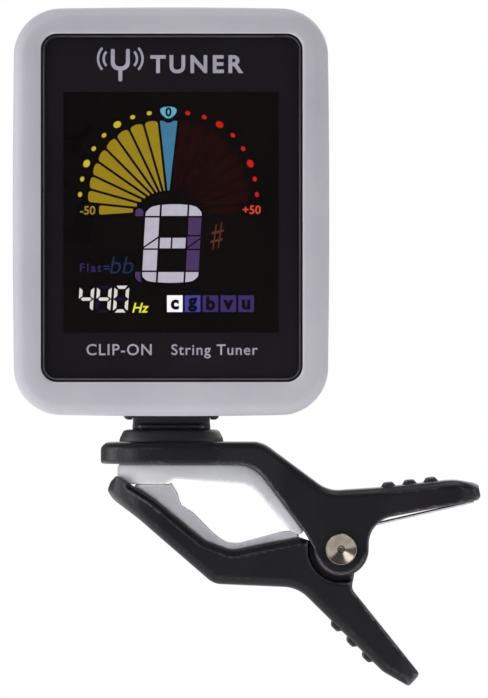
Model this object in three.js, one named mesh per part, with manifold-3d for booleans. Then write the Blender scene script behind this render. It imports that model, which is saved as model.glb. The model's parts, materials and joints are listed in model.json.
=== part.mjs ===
// Clip-on instrument tuner: a display head in a soft sleeve, on a tilting and
// swivelling neck above a sprung two-lever clip with grip pads.
//
// Millimetres. +X to the right of the face, +Z up, the face looks towards -Y.
// The origin is the middle of the upper pad's grip face, in the clip's jaws.
import * as THREE from 'three';
import { mergeVertices } from 'three/addons/utils/BufferGeometryUtils.js';
import Module from 'manifold-3d';

const wasm = await Module();
wasm.setup();

// ---------------------------------------------------------------- dimensions

const GAP = 0.15; // clearance between pieces that sit against each other

// The head: centre, outer size of the sleeve and its front-to-back places.
const HEAD = { x: 3.56, z: 38.8, width: 45, height: 58.1, corner: 6.8, front: -18.5, back: -4.3 };
const FACE = { x: 3.67, z: 39.35, width: 37.2, height: 49.5, corner: 2.3 };
const WINDOW = { x: 3.56, z: 38.73, width: 30.6, height: 34.2 };
const CAVITY = { x: HEAD.x, z: HEAD.z, width: 40.1, height: 53.1, corner: 3.2 };
const REAR_OPENING = { x: HEAD.x, z: HEAD.z, width: 37, height: 50, corner: 2.6 };
const LIP_BACK = -17.2; // back of the sleeve's front lip
const REAR_LIP = -5.5; // front of the sleeve's rear lip
const WALL = 1.2; // case wall
const CASE_SPLIT = -8.9; // where the two halves of the case meet
const BOSS = { dx: 16.2, dz: 22.3, radius: 2.6 };

// Front and back places of the layers inside the head, from the face backwards.
const LENS = [-17.9, -17];
const MASK = [-16.9, -16.7];
const LENS_SEAT = -16.55;
const GLASS = [-16.5, -15.3];
const TRAY_FLOOR = -15.4;
const GUIDE = [-15.15, -14];
const HOLDER = [-15.2, -12.95];
const STRIP = [-15.15, -12.85];
const BOARD_LAYER = [-12.7, -11.7];
const ON_BOARD = BOARD_LAYER[1] + 0.1; // where parts on the board's back begin
const SWITCH_HEIGHT = 1.3;
const PIEZO = { z: 18.8, radius: 4.8, ceramicRadius: 3.2, front: -6.4, back: -6.1 };

// The rear cover: its outer face, its inner face and its screw seats.
const COVER = { face: -4.5, inside: -5.95, bossEnd: -5.8, screwSeat: -5.5 };
const SCREW = { bore: 1.05, shank: 0.85, tip: -13, head: 1.7, seat: -5.35, top: -4.7 };

// The coin cell, its door in the rear cover and the buttons beside it.
const CELL = { z: 37, radius: 10, thickness: 3.2, front: -10.05 };
const DOOR = { radius: 11.3, tabRadius: 12.4, inner: -6.7, outer: -4.35 };
const OPEN_TURN = 45; // degrees the door turns from locked to free
const BUTTON = { z: 56, pitch: 10, radius: 2.3, travel: 0.5, outer: -3.6 };
const BUTTON_COLLAR = { radius: 3, front: -6.8, back: -6.1 };

// The neck: the head swivels about Z at SWIVEL.x and tilts about the pin.
const SWIVEL = { x: HEAD.x, y: 0 };
const TILT = { z: 13.2, pinRadius: 1.2, knuckleRadius: 3.8, earRadius: 4.03, earThickness: 1.22 };
const NECK_WIDTH = 11;
const WEB_HALF = 2.8; // half thickness of the web below the knuckle
const FOOT = { bottom: 7.95, top: 8.6, halfDepth: 3.4 };
const STEM = { radius: 3.1, bottom: 4.25, bore: 1.1 };
const COLLAR_TOP = 7.8;
const WASHER = { inner: 1.15, outer: 4.6, bottom: 3.55, top: 4.05 };

// The clip: both levers turn about a rivet along Y.
const PIVOT = { x: 27.8, z: -9.27, bore: 1.5, shaft: 1.4, headRadius: 2.22 };
const LUG_RADIUS = 3.85; // upper lever's cheeks
const KNUCKLE_RADIUS = 3.65; // lower lever's knuckles, between the cheeks
const RECESS_RADIUS = 5.15; // lower lever's clearance round the cheeks
const CLIP_HALF = 7; // half width of the clip at its pivot
const PAST_CLIP = 12; // beyond either side of the clip
const RIB_HALF = 5.6; // half length of the grip bars across a handle
const KNUCKLE_OUT = 4.4; // half width over the lower lever's knuckles
const STEM_ROOM = { radius: 3.35, washerRadius: 5, washerTop: 4.3 }; // in the platform
const SPRING_ROOM = 2.45; // half width of the space for the coil
const PLATFORM = { top: 6.05, bottom: 2.7, radius: 10.1 };
const PAD_TOP = PLATFORM.bottom - GAP;

const COIL = { radius: 2.2, wire: 0.36, turns: 4, pitch: 0.86 };
const UPPER_LEG = { angle: 13.8, length: 19.4 };
const LOWER_LEG = { angle: -54.5, length: 14.5 };

// ------------------------------------------------------------ outline points
// Each corner is [across, up, fillet radius].

const UPPER_SIDE = [
  [-6.54, 6.05, 1.5], [16.5, 6.05, 4], [25.95, -0.95, 4.5], [33, -0.5, 12], [43.9, 0.68, 8],
  [47.45, 0.05, 0.5], [47.75, -1.7, 0.4], [47.1, -2.25, 0.4], [31.75, -5.25, 4],
  [31.7, -13.12, 3.85], [23.95, -13.12, 3.85], [23.95, -9.2, 0.8], [22.3, -6.5, 0.6], [15.3, 2.7, 4.9],
  [-6.54, 2.7, 0.5],
];
const UPPER_PLAN = [
  [-6.54, -10.1, 10.09], [10, -10.1, 8], [20, -7, 8], [34, -7, 10], [42, -7.8, 10], [47.75, -7.8, 4],
  [47.75, 7.8, 4], [42, 7.8, 10], [34, 7, 10], [20, 7, 8], [10, 10.1, 8], [-6.54, 10.1, 10.09],
];
const LOWER_SIDE = [
  [-4.15, 1.15, 0.2], [-5.55, -0.25, 0.6], [-5.55, -1.75, 0.5], [9.6, -14.2, 3], [21.6, -14.75, 5],
  [33.7, -26.7, 3], [37.4, -28.75, 0.5], [38.95, -27.05, 0.6], [29.25, -14.9, 1.5], [29.75, -12.6, 0.6],
  [27.8, -11, 0], [24.5, -10.4, 0], [24.4, -8.3, 0.4], [22.5, -7.72, 0.2], [21.95, -7.5, 0.2],
  [12.2, -9.43, 3], [8.3, -7.98, 3], [1, -2.15, 6],
];
const LOWER_PLAN = [
  [-5.55, -9.05, 9.04], [10, -9.05, 8], [20, -7, 8], [28, -7, 6], [34, -7.6, 8], [38.95, -7.6, 4],
  [38.95, 7.6, 4], [34, 7.6, 8], [28, 7, 6], [20, 7, 8], [10, 9.05, 8], [-5.55, 9.05, 9.04],
];
const UPPER_PAD_SIDE = [
  [-3.8, PAD_TOP, 0.2], [15.23, PAD_TOP, 5], [21.85, -6.2, 0.2], [20.65, -6.6, 0.3], [14.9, 0, 4],
  [5, 0.75, 2], [4, 0.8, 0.8], [2.5, 0, 0.6], [-2, 0, 0.5], [-4, 1.25, 0.3],
];
const LOWER_PAD_SIDE = [
  [-1.75, -GAP, 0], [3.1, -GAP, 0.2], [3.55, 0.05, 0.2], [4.75, -1.9, 1], [4.75, -2.75, 0.8], [10.2, -7.7, 3],
  [13, -8.3, 3], [19.6, -6.88, 2], [21.7, -6.9, 0.2], [21.7, -7.4, 0.1], [12.2, -9.28, 3],
  [8.37, -7.8, 3], [1.1, -2.05, 6],
];
const PAD_PLAN = [
  [-4, -7.5, 7.49], [10, -7.5, 6], [18, -6, 6], [24, -6, 0.5],
  [24, 6, 0.5], [18, 6, 6], [10, 7.5, 6], [-4, 7.5, 7.49],
];
const CHEEK_RELIEF = [[22, -6.9, 0], [22, -9.6, 0], [24.8, -9.6, 0], [24.8, -6.9, 0]];
const RIB_SIDE = [[-1, -0.4, 0], [1, -0.4, 0], [0.75, 0.62, 0.1], [-0.35, 0.62, 0.1], [-1, 0, 0.1]];

// ------------------------------------------------------------------ helpers

const degrees = THREE.MathUtils.degToRad;

/** A closed outline of corners [x, y, radius], each rounded to its radius. */
function outline(corners, stepAngle = 0.35) {
  const points = [];
  corners.forEach(([x, y, radius], i) => {
    const here = new THREE.Vector2(x, y);
    const before = corners[(i + corners.length - 1) % corners.length];
    const after = corners[(i + 1) % corners.length];
    const back = new THREE.Vector2(before[0] - x, before[1] - y).normalize();
    const ahead = new THREE.Vector2(after[0] - x, after[1] - y).normalize();
    const half = Math.acos(THREE.MathUtils.clamp(back.dot(ahead), -1, 1)) / 2;
    const turn = Math.PI - 2 * half;
    if (radius === 0 || turn < 0.02) {
      points.push(here);
      return;
    }
    const centre = back.clone().add(ahead).setLength(radius / Math.sin(half)).add(here);
    const start = back.clone().multiplyScalar(radius / Math.tan(half)).add(here).sub(centre);
    const side = Math.sign(ahead.cross(back));
    const steps = Math.max(1, Math.round(turn / stepAngle));
    for (let s = 0; s <= steps; s += 1) {
      points.push(start.clone().rotateAround(new THREE.Vector2(), (side * turn * s) / steps).add(centre));
    }
  });
  return new THREE.Shape(points);
}

/** Corners of a rounded rectangle. */
function rectangle({ x, z, width, height, corner = 0 }, grow = 0) {
  const w = width / 2 + grow;
  const h = height / 2 + grow;
  const r = Math.max(corner + grow, 0);
  return [[x - w, z - h, r], [x + w, z - h, r], [x + w, z + h, r], [x - w, z + h, r]];
}

/** Six times the enclosed volume, positive when the faces point out. */
function signedVolume(positions, index) {
  const [a, b, c] = [new THREE.Vector3(), new THREE.Vector3(), new THREE.Vector3()];
  let total = 0;
  for (let i = 0; i < index.count; i += 3) {
    a.fromBufferAttribute(positions, index.getX(i));
    b.fromBufferAttribute(positions, index.getX(i + 1));
    c.fromBufferAttribute(positions, index.getX(i + 2));
    total += a.dot(b.cross(c));
  }
  return total;
}

/** A closed geometry as a solid that can be joined and cut. */
function solid(geometry) {
  geometry.deleteAttribute('normal');
  geometry.deleteAttribute('uv');
  const merged = mergeVertices(geometry, 1e-5);
  const { position } = merged.attributes;
  const triangles = Uint32Array.from(merged.index.array);
  if (signedVolume(position, merged.index) < 0) {
    for (let i = 0; i < triangles.length; i += 3) {
      [triangles[i + 1], triangles[i + 2]] = [triangles[i + 2], triangles[i + 1]];
    }
  }
  const vertices = Float32Array.from(position.array);
  return new wasm.Manifold(new wasm.Mesh({ numProp: 3, vertProperties: vertices, triVerts: triangles }));
}

/** An outline in the XZ plane, thick from y0 to y1. */
function plate(corners, y0, y1, stepAngle) {
  const shape = outline(corners, stepAngle);
  const geometry = new THREE.ExtrudeGeometry(shape, { depth: y1 - y0, bevelEnabled: false });
  geometry.rotateX(Math.PI / 2);
  geometry.translate(0, y1, 0);
  return solid(geometry);
}

/** An outline in the XY plane, thick from z0 to z1. */
function slab(corners, z0, z1, stepAngle) {
  const shape = outline(corners, stepAngle);
  const geometry = new THREE.ExtrudeGeometry(shape, { depth: z1 - z0, bevelEnabled: false });
  geometry.translate(0, 0, z0);
  return solid(geometry);
}

/** A box between two corners. */
function block(x0, x1, y0, y1, z0, z1) {
  const geometry = new THREE.BoxGeometry(x1 - x0, y1 - y0, z1 - z0);
  geometry.translate((x0 + x1) / 2, (y0 + y1) / 2, (z0 + z1) / 2);
  return solid(geometry);
}

/** A solid of revolution about the line along an axis through (centre), from a
 *  closed profile of [radius, place along the axis]. */
function turned(profile, axis, centre, segments = 32) {
  const points = profile.map(([r, along]) => new THREE.Vector2(r, along));
  if (profile.every(([r]) => r > 0)) points.push(points[0].clone());
  const geometry = new THREE.LatheGeometry(points, segments);
  if (axis === 'x') geometry.rotateZ(-Math.PI / 2);
  if (axis === 'z') geometry.rotateX(Math.PI / 2);
  geometry.translate(...centre);
  return solid(geometry);
}

/** A round bar or bore along an axis. */
function rod(axis, radius, from, to, centre, segments = 32) {
  return turned([[0, from], [radius, from], [radius, to], [0, to]], axis, centre, segments);
}

const pivotRod = (radius, y0, y1, segments) => rod('y', radius, y0, y1, [PIVOT.x, 0, PIVOT.z], segments);
const swivelRod = (radius, z0, z1, segments) => rod('z', radius, z0, z1, [SWIVEL.x, 0, 0], segments);
const tiltRod = (radius, x0, x1, segments) => rod('x', radius, x0, x1, [SWIVEL.x, 0, TILT.z], segments);

const join = (...solids) => solids.reduce((a, b) => a.add(b));
const cut = (body, ...tools) => tools.reduce((a, b) => a.subtract(b), body);

/** A ring whose section is closed: one rounded rectangle for each corner of it. */
function ring(sections, cornerSteps = 5) {
  const vertices = [];
  let around = 0;
  for (const { x, z, width, height, corner, y } of sections) {
    const centres = [[1, 1], [-1, 1], [-1, -1], [1, -1]];
    centres.forEach(([sx, sz], quarter) => {
      for (let s = 0; s <= cornerSteps; s += 1) {
        const angle = (quarter + s / cornerSteps) * (Math.PI / 2);
        vertices.push(
          x + sx * (width / 2 - corner) + corner * Math.cos(angle),
          y,
          z + sz * (height / 2 - corner) + corner * Math.sin(angle),
        );
      }
    });
    around = 4 * (cornerSteps + 1);
  }
  const index = [];
  for (let i = 0; i < sections.length; i += 1) {
    const j = (i + 1) % sections.length;
    for (let k = 0; k < around; k += 1) {
      const m = (k + 1) % around;
      const [near, nearNext, far, farNext] = [i * around + k, i * around + m, j * around + k, j * around + m];
      index.push(near, nearNext, farNext, near, farNext, far);
    }
  }
  const geometry = new THREE.BufferGeometry();
  geometry.setAttribute('position', new THREE.Float32BufferAttribute(vertices, 3));
  geometry.setIndex(index);
  return solid(geometry);
}

/** A rounded rectangle between two others, for the crowned sleeve. */
function between(a, b, t, y) {
  const mix = (key) => THREE.MathUtils.lerp(a[key], b[key], t);
  return { x: mix('x'), z: mix('z'), width: mix('width'), height: mix('height'), corner: mix('corner'), y };
}

/** The same rounded rectangle drawn in by some distance. */
function inset(a, distance, y) {
  return {
    ...a,
    width: a.width - 2 * distance,
    height: a.height - 2 * distance,
    corner: Math.max(a.corner - distance, 0.3),
    y,
  };
}

// ---------------------------------------------------------------- materials

function finish(color, roughness, metalness = 0, opacity = 1) {
  return new THREE.MeshStandardMaterial({ color, roughness, metalness, opacity, transparent: opacity < 1 });
}

const SILICONE = finish(0xb7b7bf, 0.55);
const BLACK_PLASTIC = finish(0x1e1c21, 0.45);
const GLOSS_BLACK = finish(0x141216, 0.12);
const CLEAR = finish(0xdfe6ea, 0.05, 0, 0.3);
const DISPLAY = finish(0x0b070a, 0.2);
const WHITE_PLASTIC = finish(0xe8e8e4, 0.4);
const BOARD = finish(0x1f5a35, 0.5);
const NICKEL = finish(0xb9b1a6, 0.25, 1);
const STEEL = finish(0x9a9a9c, 0.3, 1);
const BRASS = finish(0xc2a04a, 0.3, 1);

const tuner = new THREE.Group();

/** Adds a piece to the tuner under its name. */
function piece(name, body, material) {
  const { numProp, vertProperties, triVerts } = body.getMesh();
  const positions = [];
  for (let i = 0; i < vertProperties.length; i += numProp) {
    positions.push(vertProperties[i], vertProperties[i + 1], vertProperties[i + 2]);
  }
  const geometry = new THREE.BufferGeometry();
  geometry.setAttribute('position', new THREE.Float32BufferAttribute(positions, 3));
  geometry.setIndex(Array.from(triVerts));
  geometry.computeVertexNormals();
  const mesh = new THREE.Mesh(geometry, material);
  mesh.name = name;
  tuner.add(mesh);
}

// --------------------------------------------------------------------- head

/** The soft sleeve round the case, open at the face and at the back. */
function bumper() {
  const outer = HEAD;
  const crown = HEAD.front;
  const sections = [
    { ...FACE, y: LIP_BACK },
    { ...FACE, y: crown + 0.5 },
    between(FACE, outer, 0.1, crown + 0.15),
    between(FACE, outer, 0.35, crown),
    between(FACE, outer, 0.65, crown + 0.1),
    inset(outer, 0.6, crown + 0.7),
    inset(outer, 0.12, crown + 1.8),
    { ...outer, y: crown + 3 },
    { ...outer, y: HEAD.back - 2 },
    inset(outer, 0.5, HEAD.back - 0.6),
    inset(outer, 1.5, HEAD.back),
    { ...REAR_OPENING, y: HEAD.back },
    { ...REAR_OPENING, y: REAR_LIP },
    { ...CAVITY, y: REAR_LIP },
    { ...CAVITY, y: LIP_BACK },
  ];
  const notchHalf = 7.3;
  const hingeNotch = block(HEAD.x - notchHalf, HEAD.x + notchHalf, REAR_LIP - 0.1, -3, 9, TILT.z + 1.3);
  piece('bumper', cut(ring(sections), hingeNotch), SILICONE);
}

/** The clear front plate and the printed layer behind it. */
function face() {
  const visible = rectangle(FACE, -0.28);
  piece('face_lens', plate(visible, ...LENS), CLEAR);
  const mask = cut(plate(visible, ...MASK), plate(rectangle(WINDOW), MASK[0] - 0.1, MASK[1] + 0.1));
  piece('face_mask', mask, GLOSS_BLACK);
}

// Where the case's four screws are, and its three buttons.
const bossPlaces = [[-1, 1], [1, 1], [1, -1], [-1, -1]].map(([sx, sz]) => [
  HEAD.x + sx * BOSS.dx,
  HEAD.z + sz * BOSS.dz,
]);
const buttonPlaces = ['power', 'mode', 'pitch'].map((use, i) => ({
  use,
  x: HEAD.x + (i - 1) * BUTTON.pitch,
}));

/** The front half of the case: a tray with the display opening and four bosses. */
function frontCase() {
  const outside = rectangle(CAVITY, -GAP);
  const inside = rectangle(CAVITY, -GAP - WALL);
  const tray = cut(
    plate(outside, LIP_BACK + GAP, CASE_SPLIT),
    plate(rectangle(FACE, -0.1), LIP_BACK - 1, LENS_SEAT),
    plate(inside, TRAY_FLOOR, CASE_SPLIT + 1),
  );
  const bosses = bossPlaces.map(([x, z]) => {
    const boss = rod('y', BOSS.radius, TRAY_FLOOR - 0.2, CASE_SPLIT, [x, 0, z], 16);
    return boss.intersect(plate(outside, LIP_BACK, CASE_SPLIT + 1));
  });
  const body = join(tray, ...bosses);
  const shanks = bossPlaces.map(([x, z]) =>
    rod('y', SCREW.bore, SCREW.tip - 0.5, CASE_SPLIT + 1, [x, 0, z], 12));
  const displayOpening = plate(rectangle({ ...WINDOW, width: 32, height: 36 }), LIP_BACK, TRAY_FLOOR + 0.4);
  piece('front_case', cut(body, displayOpening, ...shanks), BLACK_PLASTIC);
}

/** The display: its glass, light guide, frame and the strip that connects it. */
function display() {
  const { x, z } = WINDOW;
  piece('lcd_glass', plate(rectangle({ x, z, width: 31.6, height: 35.6 }), ...GLASS), DISPLAY);
  const guide = { x, z: z + 1.2, width: 31.6, height: 33.2 };
  piece('backlight', plate(rectangle(guide), ...GUIDE), WHITE_PLASTIC);
  const frame = { x, z: z + 1.2, width: 34.6, height: 36.2, corner: 0.6 };
  const frameRoom = plate(rectangle(guide, GAP), HOLDER[0] - 1, HOLDER[1] + 1);
  piece('lcd_holder', cut(plate(rectangle(frame), ...HOLDER), frameRoom), BLACK_PLASTIC);
  piece('zebra_strip', block(x - 13, x + 13, ...STRIP, 21, 21.55), SILICONE);
}

/** The circuit board with what is soldered on its back. */
function board() {
  const notches = bossPlaces.map(([x, z]) => rod('y', BOSS.radius + 0.4, -14, -10, [x, 0, z], 16));
  const blank = { x: HEAD.x, z: HEAD.z, width: 36.6, height: 49.6, corner: 1.2 };
  piece('pcb', cut(plate(rectangle(blank), ...BOARD_LAYER), ...notches), BOARD);
  piece('mcu_chip', block(9, 16, ON_BOARD, ON_BOARD + 1, 16.5, 23.5), BLACK_PLASTIC);
  const crystal = { x: -3.5, z: 19.5, width: 8, height: 3.2, corner: 1.5 };
  piece('crystal_can', plate(rectangle(crystal), ON_BOARD, ON_BOARD + 1.6), STEEL);
  buttonPlaces.forEach(({ x }, i) => {
    const body = block(x - 2.2, x + 2.2, ON_BOARD, ON_BOARD + 1, BUTTON.z - 2.2, BUTTON.z + 2.2);
    const dome = rod('y', 1, ON_BOARD + 0.9, ON_BOARD + SWITCH_HEIGHT, [x, 0, BUTTON.z], 12);
    piece(`tact_switch_${i + 1}`, join(body, dome), STEEL);
  });
}

/** The coin cell and the two spring contacts on the board that touch it. */
function battery() {
  const { z, radius, thickness, front } = CELL;
  const cell = [
    [0, front], [radius - 1.4, front], [radius - 1.4, front + 0.4], [radius - 0.2, front + 0.4],
    [radius, front + 0.7], [radius, front + thickness], [0, front + thickness],
  ];
  piece('coin_cell', turned(cell, 'y', [HEAD.x, 0, z], 40), STEEL);
  piece('battery_contact_negative', contactLeaf(HEAD.x, z), NICKEL);
  const side = HEAD.x + radius + 0.25;
  const foot = block(side, side + 2.2, ON_BOARD, ON_BOARD + 0.3, z - 2, z + 2);
  const tab = block(side, side + 0.3, ON_BOARD, ON_BOARD + 4, z - 2, z + 2);
  piece('battery_contact_positive', join(foot, tab), NICKEL);
}

/** A bent leaf: a foot on the board and a raised blade under the cell. */
function contactLeaf(x, z) {
  const bottom = ON_BOARD;
  const top = ON_BOARD + 0.25;
  const blade = [
    [x - 5, bottom, 0], [x + 5, bottom, 0], [x + 5, top, 0], [x + 2.6, top, 0], [x, ON_BOARD + 1.3, 0.6],
    [x - 2.6, top, 0], [x - 5, top, 0],
  ];
  return slab(blade, z - 1.5, z + 1.5);
}

/** The rear half of the case, with the battery opening and the hinge ears. */
function rearCover() {
  const rim = plate(rectangle(CAVITY, -GAP), CASE_SPLIT + GAP, REAR_LIP - GAP);
  const plateau = plate(rectangle(REAR_OPENING, -GAP), REAR_LIP - 1, COVER.face);
  const hollow = plate(rectangle(CAVITY, -GAP - WALL), CASE_SPLIT - 1, COVER.inside);
  const edge = plate(rectangle(CAVITY, -GAP), CASE_SPLIT, COVER.face);
  const bosses = bossPlaces.map(([x, z]) => {
    const boss = rod('y', BOSS.radius, CASE_SPLIT + GAP, COVER.bossEnd, [x, 0, z], 16);
    return boss.intersect(edge);
  });
  const outside = COVER.face + 0.5;
  const screwHoles = bossPlaces.flatMap(([x, z]) => [
    rod('y', SCREW.bore, CASE_SPLIT - 1, outside, [x, 0, z], 12),
    rod('y', SCREW.head + 0.25, COVER.screwSeat, outside, [x, 0, z], 20),
  ]);
  const buttonHoles = buttonPlaces.map(({ x }) =>
    rod('y', BUTTON.radius + GAP, COVER.inside - 1, outside, [x, 0, BUTTON.z], 24));
  const shell = join(cut(join(rim, plateau), hollow), ...bosses);
  const body = cut(shell, ...screwHoles, batteryOpening(), ...buttonHoles);
  piece('rear_cover', join(body, hingeEars()), BLACK_PLASTIC);
}

/** The door's round hole, with three notches that let its tabs in when it is turned. */
function batteryOpening() {
  const depth = [COVER.inside - 1, COVER.face + 0.5];
  const hole = rod('y', DOOR.radius + GAP, ...depth, [HEAD.x, 0, CELL.z], 36);
  const notches = doorTabs(DOOR.tabRadius + 0.2, ...depth, 13, OPEN_TURN);
  return join(hole, notches);
}

/** Three bayonet tabs, each reaching some degrees either side of its middle. */
function doorTabs(radius, y0, y1, halfAngle, turn) {
  const wedges = [0, 120, 240].map((start) => {
    const corners = [[0, 0, 0]];
    for (const angle of [-halfAngle, 0, halfAngle]) {
      const a = degrees(-(start + angle + turn + 90));
      corners.push([radius * Math.cos(a), radius * Math.sin(a), 0]);
    }
    const placed = corners.map(([x, z, r]) => [HEAD.x + x, CELL.z + z, r]);
    return plate(placed, y0, y1);
  });
  return join(...wedges);
}

/** The two ears that carry the tilt pin, and the block that ties them to the cover. */
function hingeEars() {
  const inner = NECK_WIDTH / 2 + GAP;
  const outer = inner + TILT.earThickness;
  const root = REAR_LIP + 0.1;
  const top = TILT.z + TILT.earRadius;
  const ears = [-1, 1].map((side) => {
    const x0 = side > 0 ? inner : -outer;
    const x1 = side > 0 ? outer : -inner;
    const arm = block(SWIVEL.x + x0, SWIVEL.x + x1, root, 0, TILT.z - TILT.earRadius + 0.28, top);
    return join(tiltRod(TILT.earRadius, x0, x1), arm);
  });
  const tie = block(SWIVEL.x - outer, SWIVEL.x + outer, root, COVER.face, TILT.z - 0.5, top);
  return cut(join(...ears, tie), tiltRod(TILT.pinRadius + 0.1, -8, 8));
}

/** The round door over the cell, with a coin slot across it. */
function batteryDoor() {
  const { radius, tabRadius, inner, outer } = DOOR;
  const centre = [HEAD.x, 0, CELL.z];
  const disc = rod('y', radius, inner, outer, centre, 36);
  const tabs = doorTabs(tabRadius, inner, inner + 0.6, 10, 0);
  const slot = block(HEAD.x - 5.5, HEAD.x + 5.5, outer - 0.9, 0, CELL.z - 0.85, CELL.z + 0.85);
  piece('battery_door', cut(join(disc, tabs), slot), BLACK_PLASTIC);
}

/** Three push buttons, each with a collar inside the cover and a stem to its switch. */
function buttons() {
  const { radius, travel, outer } = BUTTON;
  const collar = BUTTON_COLLAR;
  const stemEnd = ON_BOARD + SWITCH_HEIGHT + travel + 0.1;
  const profile = [
    [0, stemEnd], [1, stemEnd], [1, collar.front], [collar.radius, collar.front], [collar.radius, collar.back],
    [radius, collar.back], [radius, outer - 0.25], [radius - 0.3, outer], [0, outer],
  ];
  for (const { use, x } of buttonPlaces) {
    piece(`button_${use}`, turned(profile, 'y', [x, 0, BUTTON.z], 24), BLACK_PLASTIC);
  }
}

/** Case screws with a cross recess. */
function caseScrews() {
  const { shank, tip, head, seat, top } = SCREW;
  const profile = [
    [0, tip], [shank, tip], [shank, seat], [head, seat], [head, top - 0.2], [head - 0.4, top], [0, top],
  ];
  bossPlaces.forEach(([x, z], i) => {
    const recess = [top - 0.4, top + 0.5];
    const cross = join(
      block(x - 0.9, x + 0.9, ...recess, z - 0.16, z + 0.16),
      block(x - 0.16, x + 0.16, ...recess, z - 0.9, z + 0.9),
    );
    piece(`case_screw_${i + 1}`, cut(turned(profile, 'y', [x, 0, z], 16), cross), STEEL);
  });
}

/** The vibration sensor on the inside of the rear cover. */
function sensor() {
  const { z, radius, ceramicRadius, front, back } = PIEZO;
  const disc = rod('y', radius, front, back, [HEAD.x, 0, z], 28);
  const ceramic = rod('y', ceramicRadius, front - 0.15, front + 0.05, [HEAD.x, 0, z], 24);
  piece('piezo_disc', join(disc, ceramic), BRASS);
}

// --------------------------------------------------------------------- neck

/** The post between the head and the clip, with the pin it tilts on. */
function neck() {
  const half = NECK_WIDTH / 2;
  const pinHalf = half + TILT.earThickness;
  piece('tilt_pin', tiltRod(TILT.pinRadius, -pinHalf, pinHalf, 24), STEEL);
  const x0 = SWIVEL.x - half;
  const x1 = SWIVEL.x + half;
  const knuckle = tiltRod(TILT.knuckleRadius, -half, half);
  const web = block(x0, x1, -WEB_HALF, WEB_HALF, FOOT.bottom + 0.25, TILT.z);
  const { bottom, top, halfDepth } = FOOT;
  const footProfile = [[0, bottom], [half - 0.3, bottom], [half, bottom + 0.3], [half, top], [0, top]];
  const disc = turned(footProfile, 'z', [SWIVEL.x, 0, 0], 40);
  const foot = disc.intersect(block(x0 - 1, x1 + 1, -halfDepth, halfDepth, bottom - 1, top + 1));
  const stem = swivelRod(STEM.radius, STEM.bottom, bottom + 0.25);
  const screwHole = swivelRod(STEM.bore, STEM.bottom - 1, 7.5, 16);
  const pinHole = tiltRod(TILT.pinRadius + 0.1, -half - 1, half + 1);
  piece('swivel_neck', cut(join(knuckle, web, foot, stem), pinHole, screwHole), BLACK_PLASTIC);
}

/** The collar under the neck, and the washer and screw that hold the neck from below. */
function swivelParts() {
  const base = PLATFORM.top + GAP;
  const collar = [
    [STEM_ROOM.radius, base], [7.35, base], [7.35, 6.75], [7.1, 7.25], [6.3, COLLAR_TOP],
    [STEM_ROOM.radius, COLLAR_TOP],
  ];
  piece('swivel_collar', turned(collar, 'z', [SWIVEL.x, 0, 0], 40), BLACK_PLASTIC);
  const { inner, outer, bottom, top } = WASHER;
  const washer = [[inner, bottom], [outer, bottom], [outer, top], [inner, top]];
  piece('swivel_washer', turned(washer, 'z', [SWIVEL.x, 0, 0], 28), STEEL);
  const screw = [[0, 2.8], [1.6, 2.8], [2, 3.05], [2, 3.4], [0.9, 3.4], [0.9, 7.2], [0, 7.2]];
  const recess = join(
    block(SWIVEL.x - 1.1, SWIVEL.x + 1.1, -0.2, 0.2, 2.5, 3.15),
    block(SWIVEL.x - 0.2, SWIVEL.x + 0.2, -1.1, 1.1, 2.5, 3.15),
  );
  piece('swivel_screw', cut(turned(screw, 'z', [SWIVEL.x, 0, 0], 20), recess), STEEL);
}

// --------------------------------------------------------------------- clip

/** A point on a spring leg, some way out along it and off to its outer side. */
function alongLeg({ angle }, side, distance, offset = 0) {
  const a = degrees(angle);
  const out = COIL.radius + offset;
  return [
    PIVOT.x + Math.cos(a) * distance - side * Math.sin(a) * out,
    PIVOT.z + Math.sin(a) * distance + side * Math.cos(a) * out,
  ];
}

/** The channel in a handle that a spring leg lies in. */
function legChannel(leg, side) {
  const corners = [[0, -2.5], [leg.length + 0.5, -2.5], [leg.length + 0.5, 0.6], [0, 0.6]];
  const placed = corners.map(([distance, offset]) => [...alongLeg(leg, side, distance, offset), 0]);
  return plate(placed, -SPRING_ROOM, SPRING_ROOM);
}

/** Grip bars across a handle, standing on the line between two points. */
function gripRibs(places, angle, flip) {
  const a = degrees(angle);
  const bars = places.map(([x, z]) => {
    const placed = RIB_SIDE.map(([u, v, r]) => [
      x + u * Math.cos(a) - flip * v * Math.sin(a),
      z + u * Math.sin(a) + flip * v * Math.cos(a),
      r,
    ]);
    return plate(placed, -RIB_HALF, RIB_HALF);
  });
  return join(...bars);
}

function upperLever() {
  const body = plate(UPPER_SIDE, -PAST_CLIP, PAST_CLIP).intersect(slab(UPPER_PLAN, -20, 12, 0.25));
  const ribs = gripRibs([[34.45, -0.28], [37.45, 0.06], [40.5, 0.42]], 6.5, 1);
  const lever = cut(
    join(body, ribs),
    pivotRod(KNUCKLE_RADIUS + 0.3, -KNUCKLE_OUT - GAP, KNUCKLE_OUT + GAP),
    plate(CHEEK_RELIEF, -KNUCKLE_OUT - GAP, KNUCKLE_OUT + GAP),
    pivotRod(PIVOT.bore, -PAST_CLIP, PAST_CLIP, 24),
    legChannel(UPPER_LEG, 1),
    swivelRod(STEM_ROOM.radius, PLATFORM.bottom - 1, PLATFORM.top + 1),
    swivelRod(STEM_ROOM.washerRadius, PLATFORM.bottom - 1, STEM_ROOM.washerTop),
  );
  piece('upper_lever', lever, BLACK_PLASTIC);
}

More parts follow.
